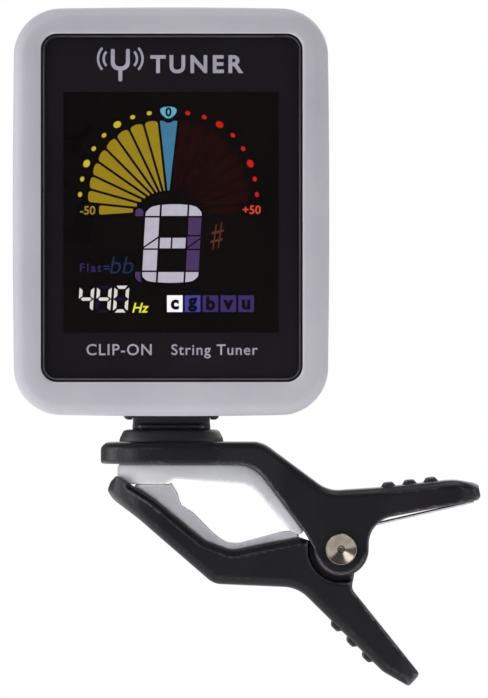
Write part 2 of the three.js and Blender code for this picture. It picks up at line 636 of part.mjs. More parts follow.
function lowerLever() {
  const body = plate(LOWER_SIDE, -PAST_CLIP, PAST_CLIP).intersect(slab(LOWER_PLAN, -32, 4, 0.25));
  const ribs = gripRibs([[27.05, -20.15], [29.25, -22.35], [31.5, -24.55]], -44.6, -1);
  const outer = [
    pivotRod(RECESS_RADIUS, -PAST_CLIP, -KNUCKLE_OUT, 48),
    pivotRod(RECESS_RADIUS, KNUCKLE_OUT, PAST_CLIP, 48),
  ];
  const knuckles = pivotRod(KNUCKLE_RADIUS, -KNUCKLE_OUT, KNUCKLE_OUT);
  const lever = cut(
    join(cut(join(body, ribs), ...outer), knuckles),
    pivotRod(KNUCKLE_RADIUS + 0.05, -SPRING_ROOM, SPRING_ROOM),
    pivotRod(PIVOT.bore, -PAST_CLIP, PAST_CLIP, 24),
    legChannel(LOWER_LEG, -1),
  );
  piece('lower_lever', lever, BLACK_PLASTIC);
}

function pads() {
  const plan = slab(PAD_PLAN, -12, 4, 0.25);
  piece('upper_pad', plate(UPPER_PAD_SIDE, -PAST_CLIP, PAST_CLIP).intersect(plan), SILICONE);
  piece('lower_pad', plate(LOWER_PAD_SIDE, -PAST_CLIP, PAST_CLIP).intersect(plan), SILICONE);
}

/** The rivet: a dished head at the front, a rolled end over a washer at the back. */
function rivet() {
  const { headRadius, shaft } = PIVOT;
  const face = -CLIP_HALF - GAP;
  const washerFront = CLIP_HALF + GAP;
  const washerBack = washerFront + 0.45;
  const roll = washerBack + GAP;
  const profile = [
    [0, face - 0.35], [0.4, face - 0.3], [headRadius - 0.25, face - 0.75], [headRadius, face - 0.55],
    [headRadius, face], [shaft, face], [shaft, roll], [2, roll], [1.7, roll + 0.55], [0.9, roll + 0.65],
    [0.7, roll - GAP], [0, roll - GAP],
  ];
  piece('pivot_rivet', turned(profile, 'y', [PIVOT.x, 0, PIVOT.z], 28), NICKEL);
  const washer = [
    [PIVOT.bore, washerFront], [3, washerFront], [3, washerBack], [PIVOT.bore, washerBack],
  ];
  piece('rivet_washer', turned(washer, 'y', [PIVOT.x, 0, PIVOT.z], 32), STEEL);
}

/** The spring's wire: in along the upper leg, round the coil, out along the lower leg. */
function springPath() {
  const length = COIL.turns * COIL.pitch;
  const from = UPPER_LEG.angle + 90;
  const to = LOWER_LEG.angle + 270 + 360 * COIL.turns;
  const points = [];
  const at = ([x, z], y) => new THREE.Vector3(x, y, z);
  for (const distance of [UPPER_LEG.length, 12, 5]) {
    points.push(at(alongLeg(UPPER_LEG, 1, distance), -length / 2));
  }
  const steps = Math.round((to - from) / 24);
  for (let s = 0; s <= steps; s += 1) {
    const a = degrees(from + ((to - from) * s) / steps);
    const y = length * (s / steps - 0.5);
    points.push(at([PIVOT.x + COIL.radius * Math.cos(a), PIVOT.z + COIL.radius * Math.sin(a)], y));
  }
  for (const distance of [4, 9, LOWER_LEG.length]) {
    points.push(at(alongLeg(LOWER_LEG, -1, distance), length / 2));
  }
  return points;
}

function torsionSpring() {
  const points = springPath();
  const curve = new THREE.CatmullRomCurve3(points, false, 'centripetal');
  const section = new THREE.Shape();
  section.absarc(0, 0, COIL.wire, 0, 2 * Math.PI);
  const geometry = new THREE.ExtrudeGeometry(section, { steps: 84, curveSegments: 4, extrudePath: curve });
  piece('torsion_spring', solid(geometry), STEEL);
}

bumper();
face();
frontCase();
display();
board();
battery();
rearCover();
batteryDoor();
buttons();
caseScrews();
sensor();
neck();
swivelParts();
upperLever();
lowerLever();
pads();
rivet();
torsionSpring();

export default tuner;
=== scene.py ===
"""Clip-on instrument tuner: the looks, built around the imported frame.

Shapes are worked out in millimetres and become Blender meshes in metres. +X is
to the right of the face, +Z is up and the face looks towards -Y.
"""
import json
import math

import bmesh
import bpy
import numpy as np
from mathutils import Matrix, Vector


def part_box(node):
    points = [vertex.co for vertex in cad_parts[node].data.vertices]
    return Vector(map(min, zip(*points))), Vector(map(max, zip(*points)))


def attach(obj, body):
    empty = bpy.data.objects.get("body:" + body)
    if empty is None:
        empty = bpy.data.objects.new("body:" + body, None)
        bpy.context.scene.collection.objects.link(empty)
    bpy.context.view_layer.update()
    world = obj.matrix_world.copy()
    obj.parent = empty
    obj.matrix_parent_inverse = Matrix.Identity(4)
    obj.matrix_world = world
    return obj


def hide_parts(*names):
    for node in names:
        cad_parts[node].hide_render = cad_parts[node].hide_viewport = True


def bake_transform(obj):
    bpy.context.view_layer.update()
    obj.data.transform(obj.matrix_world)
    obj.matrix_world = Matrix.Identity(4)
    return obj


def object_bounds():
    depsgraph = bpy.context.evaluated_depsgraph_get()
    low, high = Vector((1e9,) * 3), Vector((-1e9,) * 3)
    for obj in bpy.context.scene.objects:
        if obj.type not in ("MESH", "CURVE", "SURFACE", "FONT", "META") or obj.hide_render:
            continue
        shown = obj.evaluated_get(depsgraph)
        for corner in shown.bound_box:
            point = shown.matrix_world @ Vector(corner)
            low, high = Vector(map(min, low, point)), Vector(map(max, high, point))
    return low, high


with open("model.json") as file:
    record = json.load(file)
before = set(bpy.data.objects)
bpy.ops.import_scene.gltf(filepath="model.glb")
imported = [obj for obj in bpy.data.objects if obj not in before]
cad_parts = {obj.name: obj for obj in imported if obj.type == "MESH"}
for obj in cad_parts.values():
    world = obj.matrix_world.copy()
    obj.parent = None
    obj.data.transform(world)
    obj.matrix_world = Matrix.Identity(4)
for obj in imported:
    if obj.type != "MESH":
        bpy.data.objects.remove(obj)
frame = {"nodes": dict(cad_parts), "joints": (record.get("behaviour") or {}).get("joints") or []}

CAD_BOX = [tuple(corner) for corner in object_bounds()]
MM = 0.001


# ------------------------------------------------------------------ the frame

def box_mm(node):
    """Lowest and highest corner of a CAD node, in millimetres."""
    low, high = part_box(node)
    return np.array(low) / MM, np.array(high) / MM


def centre_mm(node):
    """Middle of a CAD node's box, in millimetres."""
    low, high = box_mm(node)
    return (low + high) / 2


def joint_point(name):
    """The point a joint turns about, in millimetres."""
    joint = next(j for j in frame["joints"] if j["name"] == name)
    return np.array(joint["pos_m"]) / MM


class Panel:
    """A rounded rectangle in the XZ plane."""

    def __init__(self, node, corner, grow=0.0):
        low, high = box_mm(node)
        self.x, _, self.z = centre_mm(node)
        self.half = (high[0] - low[0]) / 2 + grow, (high[2] - low[2]) / 2 + grow
        self.corner = corner

    def distance(self, x, z, grow=0.0):
        """Signed distance to the rectangle grown by some amount."""
        corner = max(self.corner + grow, 0.0)
        u = np.abs(x - self.x) - self.half[0] - grow + corner
        v = np.abs(z - self.z) - self.half[1] - grow + corner
        return np.hypot(np.maximum(u, 0), np.maximum(v, 0)) + np.minimum(np.maximum(u, v), 0) - corner


HEAD_LOW, HEAD_HIGH = box_mm("bumper")
HEAD_FRONT, HEAD_BACK = HEAD_LOW[1], HEAD_HIGH[1]
LENS_LOW, LENS_HIGH = box_mm("face_lens")
FACE_GAP = 0.28
HEAD = Panel("bumper", 6.8)
LENS = Panel("face_lens", 2.0)
CAVITY = Panel("front_case", 3.2, 0.15)
REAR_OPENING = Panel("front_case", 2.6, -1.4)
WINDOW = Panel("lcd_glass", 0.0, -0.6)
PIVOT_X, _, PIVOT_Z = joint_point("jaw_hinge")
SWIVEL_X, _, TILT_Z = joint_point("tilt")
DOOR_X, _, DOOR_Z = joint_point("door_twist")
PIN_BORE = 1.3
KEYS = ["power", "mode", "pitch"]
SCREWS = ["case_screw_1", "case_screw_2", "case_screw_3", "case_screw_4"]


# ------------------------------------------------------------------- outlines

def corner_loop(corners, closed=True, turn_step=0.1):
    """Points of an outline of corners (u, v, radius), each rounded to its radius."""
    points = []
    count = len(corners)
    for i, (u, v, radius) in enumerate(corners):
        here = np.array([u, v], float)
        open_end = not closed and i in (0, count - 1)
        if radius == 0 or open_end:
            points.append(here)
            continue
        back = np.array(corners[i - 1][:2]) - here
        ahead = np.array(corners[(i + 1) % count][:2]) - here
        back /= np.linalg.norm(back)
        ahead /= np.linalg.norm(ahead)
        half = math.acos(max(-1.0, min(1.0, back @ ahead))) / 2
        turn = math.pi - 2 * half
        if turn < 0.02:
            points.append(here)
            continue
        middle = (back + ahead) / np.linalg.norm(back + ahead)
        centre = here + middle * radius / math.sin(half)
        start = here + back * radius / math.tan(half) - centre
        side = math.copysign(1.0, ahead[0] * back[1] - ahead[1] * back[0])
        steps = max(1, round(turn / turn_step))
        for s in range(steps + 1):
            a = side * turn * s / steps
            spin = np.array([[math.cos(a), -math.sin(a)], [math.sin(a), math.cos(a)]])
            points.append(centre + spin @ start)
    return np.array(points)


def mirrored(corners):
    """A plan's upper half, completed with its mirror image in v."""
    return [(u, -v, r) for u, v, r in corners] + [(u, v, r) for u, v, r in reversed(corners)]


def path_distance(points, u, v, closed=False):
    """Distance to a line of points, and whether each place is inside it when closed."""
    shape = np.broadcast(u, v).shape
    nearest = np.full(shape, np.inf)
    inside = np.zeros(shape, bool)
    ends = np.roll(points, -1, axis=0) if closed else points[1:]
    for (u0, v0), (u1, v1) in zip(points, ends):
        du, dv = u1 - u0, v1 - v0
        t = np.clip(((u - u0) * du + (v - v0) * dv) / max(du * du + dv * dv, 1e-12), 0, 1)
        nearest = np.minimum(nearest, (u - u0 - t * du) ** 2 + (v - v0 - t * dv) ** 2)
        if closed and v0 != v1:
            inside ^= ((v0 > v) != (v1 > v)) & (u < du * (v - v0) / dv + u0)
    return np.sqrt(nearest), inside


def loop_distance(points, u, v):
    """Signed distance to a closed outline, negative inside."""
    distance, inside = path_distance(points, u, v, closed=True)
    return np.where(inside, -distance, distance)


# --------------------------------------------------------------------- fields

def meet(a, b, radius=0.0):
    """Where both are solid, with the edge between them rounded."""
    over = np.hypot(np.maximum(a + radius, 0), np.maximum(b + radius, 0))
    return over + np.minimum(np.maximum(a, b) + radius, 0) - radius


def join(a, b, radius=0.0):
    """Either solid, with the inner corner between them filleted."""
    return -meet(-a, -b, radius)


def cut(a, tool, radius=0.0):
    """The first solid without the second, with the new edge rounded."""
    return meet(a, -tool, radius)


def between(value, low, high):
    """A slab between two places."""
    return np.abs(value - (low + high) / 2) - (high - low) / 2


def rod(u, v, centre, radius):
    """A round bar along the axis that isn't given."""
    return np.hypot(u - centre[0], v - centre[1]) - radius


# --------------------------------------------------------------------- meshes

def surface(field, low, high, step):
    """Vertices and quads of a field's surface inside a box (naive surface nets)."""
    margin = 2.37 * step  # an odd share of a step, so that no flat face falls on the grid
    axes = [np.arange(a - margin, b + 3 * step, step) for a, b in zip(low, high)]
    shape = tuple(len(a) for a in axes)
    x, y, z = np.meshgrid(*axes, indexing="ij", sparse=True)
    values = np.array(np.broadcast_to(field(x, y, z), shape))
    cells = int(np.prod(shape))
    total = np.zeros((3, cells))
    count = np.zeros(cells)
    quads = []
    for axis in range(3):
        side, other = (axis + 1) % 3, (axis + 2) % 3
        near = values[tuple(slice(0, -1) if k == axis else slice(None) for k in range(3))]
        far = values[tuple(slice(1, None) if k == axis else slice(None) for k in range(3))]
        places = np.argwhere((near < 0) != (far < 0))
        a, b = near[tuple(places.T)], far[tuple(places.T)]
        point = places.astype(float)
        point[:, axis] += a / (a - b)
        ring = []
        for ds, do in ((0, 0), (-1, 0), (-1, -1), (0, -1)):
            cell = places.copy()
            cell[:, side] += ds
            cell[:, other] += do
            flat = np.ravel_multi_index(tuple(cell.T), shape)
            ring.append(flat)
            count += np.bincount(flat, minlength=cells)
            for k in range(3):
                total[k] += np.bincount(flat, weights=point[:, k], minlength=cells)
        ring = np.array(ring).T
        ring[a > 0] = ring[a > 0][:, ::-1]
        quads.append(ring)
    used = np.flatnonzero(count)
    order = np.zeros(cells, int)
    order[used] = np.arange(len(used))
    origin = np.array([a[0] for a in axes])
    return (total[:, used] / count[used]).T * step + origin, order[np.concatenate(quads)]


def put_in_scene(name, data):
    """A new object for a mesh, curve, light or camera."""
    obj = bpy.data.objects.new(name, data)
    bpy.context.scene.collection.objects.link(obj)
    return obj


def mesh_from(name, points, faces, smooth=True):
    """A mesh object from points in millimetres."""
    mesh = bpy.data.meshes.new(name)
    mesh.from_pydata((np.asarray(points, float) * MM).tolist(), [], [list(f) for f in faces])
    mesh.validate()
    mesh.polygons.foreach_set("use_smooth", [smooth] * len(mesh.polygons))
    return put_in_scene(name, mesh)


def face_outwards(mesh):
    """Turns the faces of a closed mesh so that their normals point out of it."""
    bm = bmesh.new()
    bm.from_mesh(mesh)
    bmesh.ops.recalc_face_normals(bm, faces=bm.faces)
    bm.to_mesh(mesh)
    bm.free()


def mark_edges(mesh, step):
    """Writes how strongly the surface turns outwards at each vertex, for edges lightened partly as wear and
    partly as a painted highlight.
    """
    count = len(mesh.vertices)
    place = np.zeros(count * 3)
    mesh.vertices.foreach_get("co", place)
    place = place.reshape(-1, 3)
    normal = np.zeros(count * 3)
    mesh.vertex_normals.foreach_get("vector", normal)
    pairs = np.zeros(len(mesh.edges) * 2, int)
    mesh.edges.foreach_get("vertices", pairs)
    pairs = pairs.reshape(-1, 2)
    both = np.concatenate([pairs, pairs[:, ::-1]])
    degree = np.bincount(both[:, 0], minlength=count)

    def mean_around(values):
        return np.bincount(both[:, 0], weights=values[both[:, 1]], minlength=count) / np.maximum(degree, 1)

    mean = np.array([mean_around(column) for column in place.T])
    lift = ((place - mean.T) * normal.reshape(-1, 3)).sum(1)
    around = mean_around(lift)
    sharpness = (lift + around) / (step * step * MM / 2)  # about one over the edge's radius
    edge = np.clip((sharpness - 0.9) / 1.1, 0, 1)
    mesh.attributes.new("edge", "FLOAT", "POINT").data.foreach_set("value", edge.astype(np.float32))


def moulded(name, field, low, high, step):
    """A smooth mesh of a field, each vertex moved onto the true surface."""
    points, quads = surface(field, low, high, step)
    obj = mesh_from(name, points, quads)
    count = len(points)
    for _ in range(3):
        normal = np.zeros(count * 3)
        obj.data.vertex_normals.foreach_get("vector", normal)
        away = np.clip(field(*points.T), -step / 2, step / 2)
        points = points - away[:, None] * normal.reshape(-1, 3)
        obj.data.vertices.foreach_set("co", (points * MM).ravel())
        obj.data.update()
    mark_edges(obj.data, step)
    return obj


def lathe(name, corners, axis, centre, segments=72):
    """A solid turned about an axis from a closed profile of (radius, along, rounding)."""
    along, side, other = {"x": (0, 1, 2), "y": (1, 2, 0), "z": (2, 0, 1)}[axis]
    points, rings, faces = [], [], []
    for radius, place in corner_loop(corners, turn_step=0.25):
        on_axis = radius < 1e-6
        ring = range(len(points), len(points) + (1 if on_axis else segments))
        for s in range(len(ring)):
            angle = 2 * math.pi * s / segments
            point = np.array(centre, float)
            point[along] += place
            point[side] += radius * math.cos(angle)
            point[other] += radius * math.sin(angle)
            points.append(point)
        rings.append(ring)
    for a, b in zip(rings, rings[1:] + rings[:1]):
        for s in range(segments):
            around = [a[s % len(a)], a[(s + 1) % len(a)], b[(s + 1) % len(b)], b[s % len(b)]]
            face = list(dict.fromkeys(around))
            if len(face) > 2:
                faces.append(face)
    obj = mesh_from(name, points, faces)
    face_outwards(obj.data)
    obj.data.set_sharp_from_angle(angle=math.radians(38))
    return obj


def prisms(name, loops, front, back):
    """Flat shapes in the XZ plane as thin closed plates between two places in Y."""
    points, faces = [], []
    for loop in loops:
        first, count = len(points), len(loop)
        points += [(u, front, v) for u, v in loop] + [(u, back, v) for u, v in loop]
        faces.append(range(first, first + count))
        faces.append(range(first + 2 * count - 1, first + count - 1, -1))
        for i in range(count):
            j = (i + 1) % count
            faces.append((first + j, first + i, first + count + i, first + count + j))
    obj = mesh_from(name, points, faces, smooth=False)
    face_outwards(obj.data)
    return obj


def tube(name, path, radius, sides=14):
    """A round wire along a path of points in millimetres, with closed rounded ends."""
    path = np.asarray(path, float)
    ahead = np.gradient(path, axis=0)
    ahead /= np.linalg.norm(ahead, axis=1)[:, None]
    across = np.cross(ahead[0], [0.0, 1.0, 0.0])
    points = []
    for i, (place, way) in enumerate(zip(path, ahead)):
        across = across - way * (across @ way)
        across /= np.linalg.norm(across)
        up = np.cross(way, across)
        size = radius * (0.72 if i in (0, len(path) - 1) else 1.0)
        for s in range(sides):
            a = 2 * math.pi * s / sides
            points.append(place + size * (math.cos(a) * across + math.sin(a) * up))
    faces = []
    for i in range(len(path) - 1):
        for s in range(sides):
            t = (s + 1) % sides
            faces.append((i * sides + s, i * sides + t, (i + 1) * sides + t, (i + 1) * sides + s))
    faces.append(range(sides - 1, -1, -1))
    faces.append(range(len(points) - sides, len(points)))
    return mesh_from(name, points, faces)


def lettering(name, text, height, u, v, front, slant=0.0, weight=0.0, spacing=1.0):
    """Raised print: a word in Blender's own sans, standing in the XZ plane."""
    size_to_capitals = 1.38
    curve = bpy.data.curves.new(name, "FONT")
    curve.body = text
    curve.size = height * size_to_capitals * MM
    curve.shear = slant
    curve.offset = weight * MM
    curve.space_character = spacing
    curve.extrude = 0.012 * MM
    curve.resolution_u = 5
    curve.align_x = curve.align_y = "CENTER"
    holder = put_in_scene(name, curve)
    bpy.context.view_layer.update()
    evaluated = holder.evaluated_get(bpy.context.evaluated_depsgraph_get())
    mesh = bpy.data.meshes.new_from_object(evaluated)
    bpy.data.objects.remove(holder)
    flat = np.zeros(len(mesh.vertices) * 3)
    mesh.vertices.foreach_get("co", flat)
    x, y, z = flat.reshape(-1, 3).T
    stood = np.stack([x + u * MM, front * MM - z, y + v * MM], axis=1)
    mesh.vertices.foreach_set("co", stood.ravel())
    mesh.update()
    mesh.materials.clear()
    return put_in_scene(name, mesh)


# ------------------------------------------------------------------ materials

def blank(name):
    """A new material, its node tree and its Principled shader."""
    material = bpy.data.materials.new(name)
    material.use_nodes = True
    tree = material.node_tree
    shader = next(n for n in tree.nodes if n.type == "BSDF_PRINCIPLED")
    return material, tree, shader


def add(tree, kind, **inputs):
    """A node of some kind, with plain values set on its sockets."""
    node = tree.nodes.new(kind)
    for key, value in inputs.items():
        node.inputs[key.replace("_", " ")].default_value = value
    return node


def noise(tree, size_mm, detail=3.0, stretch=(1, 1, 1)):
    """Noise whose features are about some size, in the object's own space."""
    place = add(tree, "ShaderNodeTexCoord")
    mapping = add(tree, "ShaderNodeMapping", Scale=tuple(s / (size_mm * MM) for s in stretch))
    texture = add(tree, "ShaderNodeTexNoise", Scale=1.0, Detail=detail)
    tree.links.new(place.outputs["Object"], mapping.inputs["Vector"])
    tree.links.new(mapping.outputs["Vector"], texture.inputs["Vector"])
    return texture.outputs["Fac"]


def span(tree, value, low, high, start=0.3, end=0.7):
    """A value taken from one range to another."""
    node = add(tree, "ShaderNodeMapRange")
    for socket, number in zip(node.inputs[1:5], (start, end, low, high)):
        socket.default_value = number
    tree.links.new(value, node.inputs[0])
    return node.outputs[0]


def tones(tree, value, first, second):
    """A colour between two, by a value from 0 to 1."""
    node = add(tree, "ShaderNodeMix")
    node.data_type = "RGBA"
    colour_inputs = [s for s in node.inputs if s.type == "RGBA"]
    factor = next(s for s in node.inputs if s.type == "VALUE")
    tree.links.new(value, factor)
    for socket, colour in zip(colour_inputs, (first, second)):
        if isinstance(colour, tuple):
            socket.default_value = (*colour, 1.0)
        else:
            tree.links.new(colour, socket)
    return next(s for s in node.outputs if s.type == "RGBA")


def bump(tree, shader, height, depth_mm):
    """Relief from a height value."""
    node = add(tree, "ShaderNodeBump", Strength=0.5, Distance=depth_mm * MM)
    tree.links.new(height, node.inputs["Height"])
    tree.links.new(node.outputs["Normal"], shader.inputs["Normal"])


def finish(name, dark, light, rough, blotch=6.0, grain=0.25, relief=0.02, wear_and_highlight=None,
           stretch=(1, 1, 1), **sockets):
    """A moulded or plated surface: blotched colour, uneven gloss, fine grain, and edges lightened partly as
    wear and partly as a painted highlight.
    """
    material, tree, shader = blank(name)
    patches = noise(tree, blotch, 4.0, stretch)
    colour = tones(tree, span(tree, patches, 0.0, 1.0), dark, light)
    gloss = span(tree, patches, rough * 0.88, rough * 1.12)
    if wear_and_highlight:
        edge = add(tree, "ShaderNodeAttribute")
        edge.attribute_name = "edge"
        rubbed_and_highlit = add(tree, "ShaderNodeMath")
        rubbed_and_highlit.operation = "MULTIPLY"
        tree.links.new(edge.outputs["Fac"], rubbed_and_highlit.inputs[0])
        tree.links.new(span(tree, noise(tree, 1.8, 5.0), 0.6, 1.0), rubbed_and_highlit.inputs[1])
        # Lightens convex edges: partly edge wear, partly a painted highlight line.
        colour = tones(tree, rubbed_and_highlit.outputs[0], colour, wear_and_highlight)
    tree.links.new(colour, shader.inputs["Base Color"])
    tree.links.new(gloss, shader.inputs["Roughness"])
    bump(tree, shader, noise(tree, grain, 2.0, stretch), relief)
    for key, value in sockets.items():
        shader.inputs[key.replace("_", " ")].default_value = value
    return material


def glowing(name, colour):
    """A display segment: its own light over a slightly uneven tinted film."""
    film_share, darkest = 0.35, 0.6
    film = tuple(c * film_share for c in colour)
    return finish(name, tuple(c * darkest for c in film), film, 0.35, blotch=1.5, relief=0.002,
                  Emission_Color=(*colour, 1.0), Emission_Strength=1.0, Specular_IOR_Level=0.05)


def clear_plate():
    """The clear front: mostly see-through, with a thin reflection by angle."""
    material, tree, shader = blank("clear_plate")
    tree.nodes.remove(shader)
    out = next(n for n in tree.nodes if n.type == "OUTPUT_MATERIAL")
    through = add(tree, "ShaderNodeBsdfTransparent", Color=(0.97, 0.965, 0.97, 1.0))
    shine = add(tree, "ShaderNodeBsdfAnisotropic", Color=(0.95, 0.95, 1.0, 1.0))
    tree.links.new(span(tree, noise(tree, 9.0), 0.16, 0.21), shine.inputs["Roughness"])
    angle = add(tree, "ShaderNodeLayerWeight", Blend=0.5)
    steep = add(tree, "ShaderNodeMath")
    steep.operation = "POWER"
    steep.inputs[1].default_value = 5.0
    tree.links.new(angle.outputs["Facing"], steep.inputs[0])
    mixed = add(tree, "ShaderNodeMixShader")
    tree.links.new(span(tree, steep.outputs[0], 0.006, 0.55, 0.0, 1.0), mixed.inputs[0])
    tree.links.new(through.outputs[0], mixed.inputs[1])
    tree.links.new(shine.outputs[0], mixed.inputs[2])
    tree.links.new(mixed.outputs[0], out.inputs["Surface"])
    return material


SOFT = {"Subsurface_Scale": 0.001, "Subsurface_Radius": (1, 1, 1)}
PAD = {"blotch": 3.5, "grain": 0.3, "relief": 0.012, "Subsurface_Weight": 0.3, **SOFT}
# The lighter edge colours below lighten sharp outer edges: partly wear, partly a painted highlight where
# light catches the edges.
SILICONE = finish("sleeve_silicone", (0.47, 0.465, 0.51), (0.53, 0.52, 0.565), 0.52, blotch=14, grain=0.18,
                  relief=0.006, wear_and_highlight=(0.62, 0.61, 0.66), Subsurface_Weight=0.12, Sheen_Weight=0.08, **SOFT)
PAD_SILICONE = finish("pad_silicone", (0.66, 0.665, 0.70), (0.75, 0.755, 0.785), 0.42,
                      wear_and_highlight=(0.95, 0.95, 0.97), **PAD)
# Painted shade: a darker copy of the pad silicone for the lower pad, which sits in shade.
PAD_SILICONE_PAINTED_SHADE = finish("pad_silicone_painted_shade", (0.47, 0.465, 0.50), (0.55, 0.545, 0.575), 0.42,
                         wear_and_highlight=(0.66, 0.66, 0.68), **PAD)
CLIP_PLASTIC = finish("clip_plastic", (0.0048, 0.0037, 0.0058), (0.0075, 0.0061, 0.0088), 0.38, blotch=9,
                      grain=0.16, relief=0.008, wear_and_highlight=(0.115, 0.108, 0.122), Specular_IOR_Level=0.28)
# Painted light: a lighter copy of the black plastic for the post, which sits in the sleeve's shade.
NECK_PLASTIC_PAINTED_LIGHT = finish("neck_plastic_painted_light", (0.0240, 0.0210, 0.0260), (0.0330, 0.0300, 0.0350), 0.42, blotch=5,
                      grain=0.16, relief=0.008, wear_and_highlight=(0.090, 0.084, 0.092), Specular_IOR_Level=0.5)
CASE_PLASTIC = finish("case_plastic", (0.0105, 0.0100, 0.0115), (0.0150, 0.0140, 0.0160), 0.48, blotch=7,
                      grain=0.12, relief=0.016, wear_and_highlight=(0.040, 0.038, 0.044))
PANEL_PRINT = finish("panel_print", (0.0075, 0.0062, 0.0092), (0.0120, 0.0105, 0.0150), 0.40, blotch=30,
                     grain=2.0, relief=0.0005, Specular_IOR_Level=0.1)
# Painted highlight: a light grey on the plate's chamfer, standing for the light its bevel catches.
LENS_EDGE_PAINTED_HIGHLIGHT = finish("lens_edge_painted_highlight", (0.080, 0.074, 0.092), (0.130, 0.120, 0.145), 0.30, blotch=5, relief=0.002)
LEGEND_INK = finish("legend_ink", (0.46, 0.455, 0.54), (0.54, 0.53, 0.60), 0.45, blotch=2, grain=0.06,
                    relief=0.002)
NICKEL = finish("nickel_plate", (0.22, 0.19, 0.155), (0.34, 0.30, 0.25), 0.19, blotch=1.2, grain=0.12,
                relief=0.003, Metallic=1.0)
STEEL = finish("bright_steel_plate", (0.42, 0.42, 0.43), (0.56, 0.56, 0.57), 0.28, blotch=1.5, grain=0.2,
               relief=0.004, stretch=(1, 1, 4), Metallic=1.0)
BRASS = finish("bare_brass", (0.50, 0.36, 0.13), (0.66, 0.49, 0.20), 0.32, blotch=3, relief=0.004,
               Metallic=1.0)
CELL = finish("cell_can", (0.52, 0.52, 0.53), (0.64, 0.64, 0.64), 0.24, blotch=5, grain=0.1, relief=0.003,
              stretch=(1, 1, 6), Metallic=1.0)
GLASS = finish("display_glass", (0.0020, 0.0008, 0.0011), (0.0056, 0.0034, 0.0024), 0.30, blotch=11,
               grain=2.0, relief=0.0005, Specular_IOR_Level=0.05)
WHITE = finish("light_guide_white", (0.72, 0.72, 0.70), (0.82, 0.82, 0.80), 0.4, blotch=4, relief=0.01)
RUBBER = finish("connector_rubber", (0.03, 0.03, 0.035), (0.42, 0.42, 0.45), 0.6, blotch=0.4,
                stretch=(1, 0.02, 0.02))
BOARD = finish("solder_mask", (0.012, 0.085, 0.032), (0.022, 0.15, 0.06), 0.35, blotch=1.1, grain=0.5,
               relief=0.03)
RESIN = finish("chip_resin_black", (0.014, 0.014, 0.015), (0.024, 0.024, 0.025), 0.55, grain=0.08,
               relief=0.012)
CLEAR = clear_plate()

GLOW = {name: glowing(f"glow_{name}", colour) for name, colour in {
    "amber": (0.270, 0.190, 0.008),
    "lamp": (0.500, 0.390, 0.020),
    "marker": (0.095, 0.360, 0.480),
    "needle": (0.046, 0.160, 0.270),
    "red": (0.480, 0.010, 0.003),
    "ember": (0.0105, 0.0012, 0.0004),
    "scarlet": (0.560, 0.055, 0.020),
    "white": (0.420, 0.405, 0.470),
    "paper": (0.860, 0.850, 0.900),
    "cream": (0.620, 0.600, 0.560),
    "violet": (0.058, 0.032, 0.100),
    "indigo": (0.052, 0.045, 0.270),
    "plum": (0.040, 0.022, 0.110),
    "shade": (0.0062, 0.0052, 0.022),
    "lemon": (0.720, 0.700, 0.020),
    "rust": (0.085, 0.030, 0.013),
    "slate": (0.010, 0.024, 0.058),
    "dusk": (0.028, 0.021, 0.090),
    "ink": (0.0020, 0.0018, 0.0026),
}.items()}


def show(obj, material, body, slot, *replaced):
    """Gives a piece its material and the body it moves with, and hides what it stands for. The slot is not
    used.
    """
    obj.data.materials.clear()
    obj.data.materials.append(material)
    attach(obj, body)
    if replaced:
        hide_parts(*replaced)


def show_moulded(name, field, node, step, material, body, slot, grow=0.0):
    """Moulds the piece that stands for a CAD node, in that node's box grown by some amount."""
    low, high = box_mm(node)
    show(moulded(name, field, low - grow, high + grow, step), material, body, slot, node)


def dress(material, *nodes):
    """A better material on CAD nodes whose shape stays."""
    for node in nodes:
        obj = frame["nodes"][node]
        for slot in obj.material_slots:
            slot.material = material


# ----------------------------------------------------------------------- head

LIP_BACK = LENS_HIGH[1] - 0.1
REAR_LIP = HEAD_BACK - 1.2
NOTCH_HALF = 7.3
SCREW_HEAD, SCREW_LENGTH = 1.7, 3.2  # radius, length


def sleeve_field(x, y, z):
    """The soft sleeve: a crowned border round the face, open at the back."""
    corner_bulge, crown_drop, crown_line, crown_half = 0.3, 0.3, 2.6, 2.0
    to_corner = (x - HEAD.x) * (z - HEAD.z) / (HEAD.half[0] * HEAD.half[1])
    edge = HEAD.distance(x, z) + corner_bulge * to_corner ** 2
    crown = HEAD_FRONT + crown_drop * ((edge + crown_line) / crown_half) ** 2
    body = meet(meet(edge, crown - y, 1.7), y - HEAD_BACK, 1.3)
    face = meet(LENS.distance(x, z, FACE_GAP), y - LIP_BACK - 0.2)
    inside = meet(CAVITY.distance(x, z), between(y, LIP_BACK, REAR_LIP))
    rear = meet(REAR_OPENING.distance(x, z), REAR_LIP - 0.2 - y)
    hollow = np.minimum(np.minimum(face, inside), rear)
    notch_sides = meet(np.abs(x - HEAD.x) - NOTCH_HALF, z - TILT_Z - 1.3)
    notch = meet(notch_sides, between(y, REAR_LIP - 0.1, 0), 0.3)
    return cut(cut(body, hollow, 0.22), notch, 0.3)


def sleeve():
    show_moulded("sleeve", sleeve_field, "bumper", 0.3, SILICONE, "head", "silicone")


def rounded_rectangle(panel, grow, steps=10):
    """Points round a panel grown by some amount, the same number at any size."""
    corner = max(panel.corner + grow, 0.05)
    w, h = panel.half[0] + grow - corner, panel.half[1] + grow - corner
    points = []
    for quarter, (su, sv) in enumerate(((1, 1), (-1, 1), (-1, -1), (1, -1))):
        for s in range(steps + 1):
            a = (quarter + s / steps) * math.pi / 2
            points.append((panel.x + su * w + corner * math.cos(a),
                           panel.z + sv * h + corner * math.sin(a)))
    return points


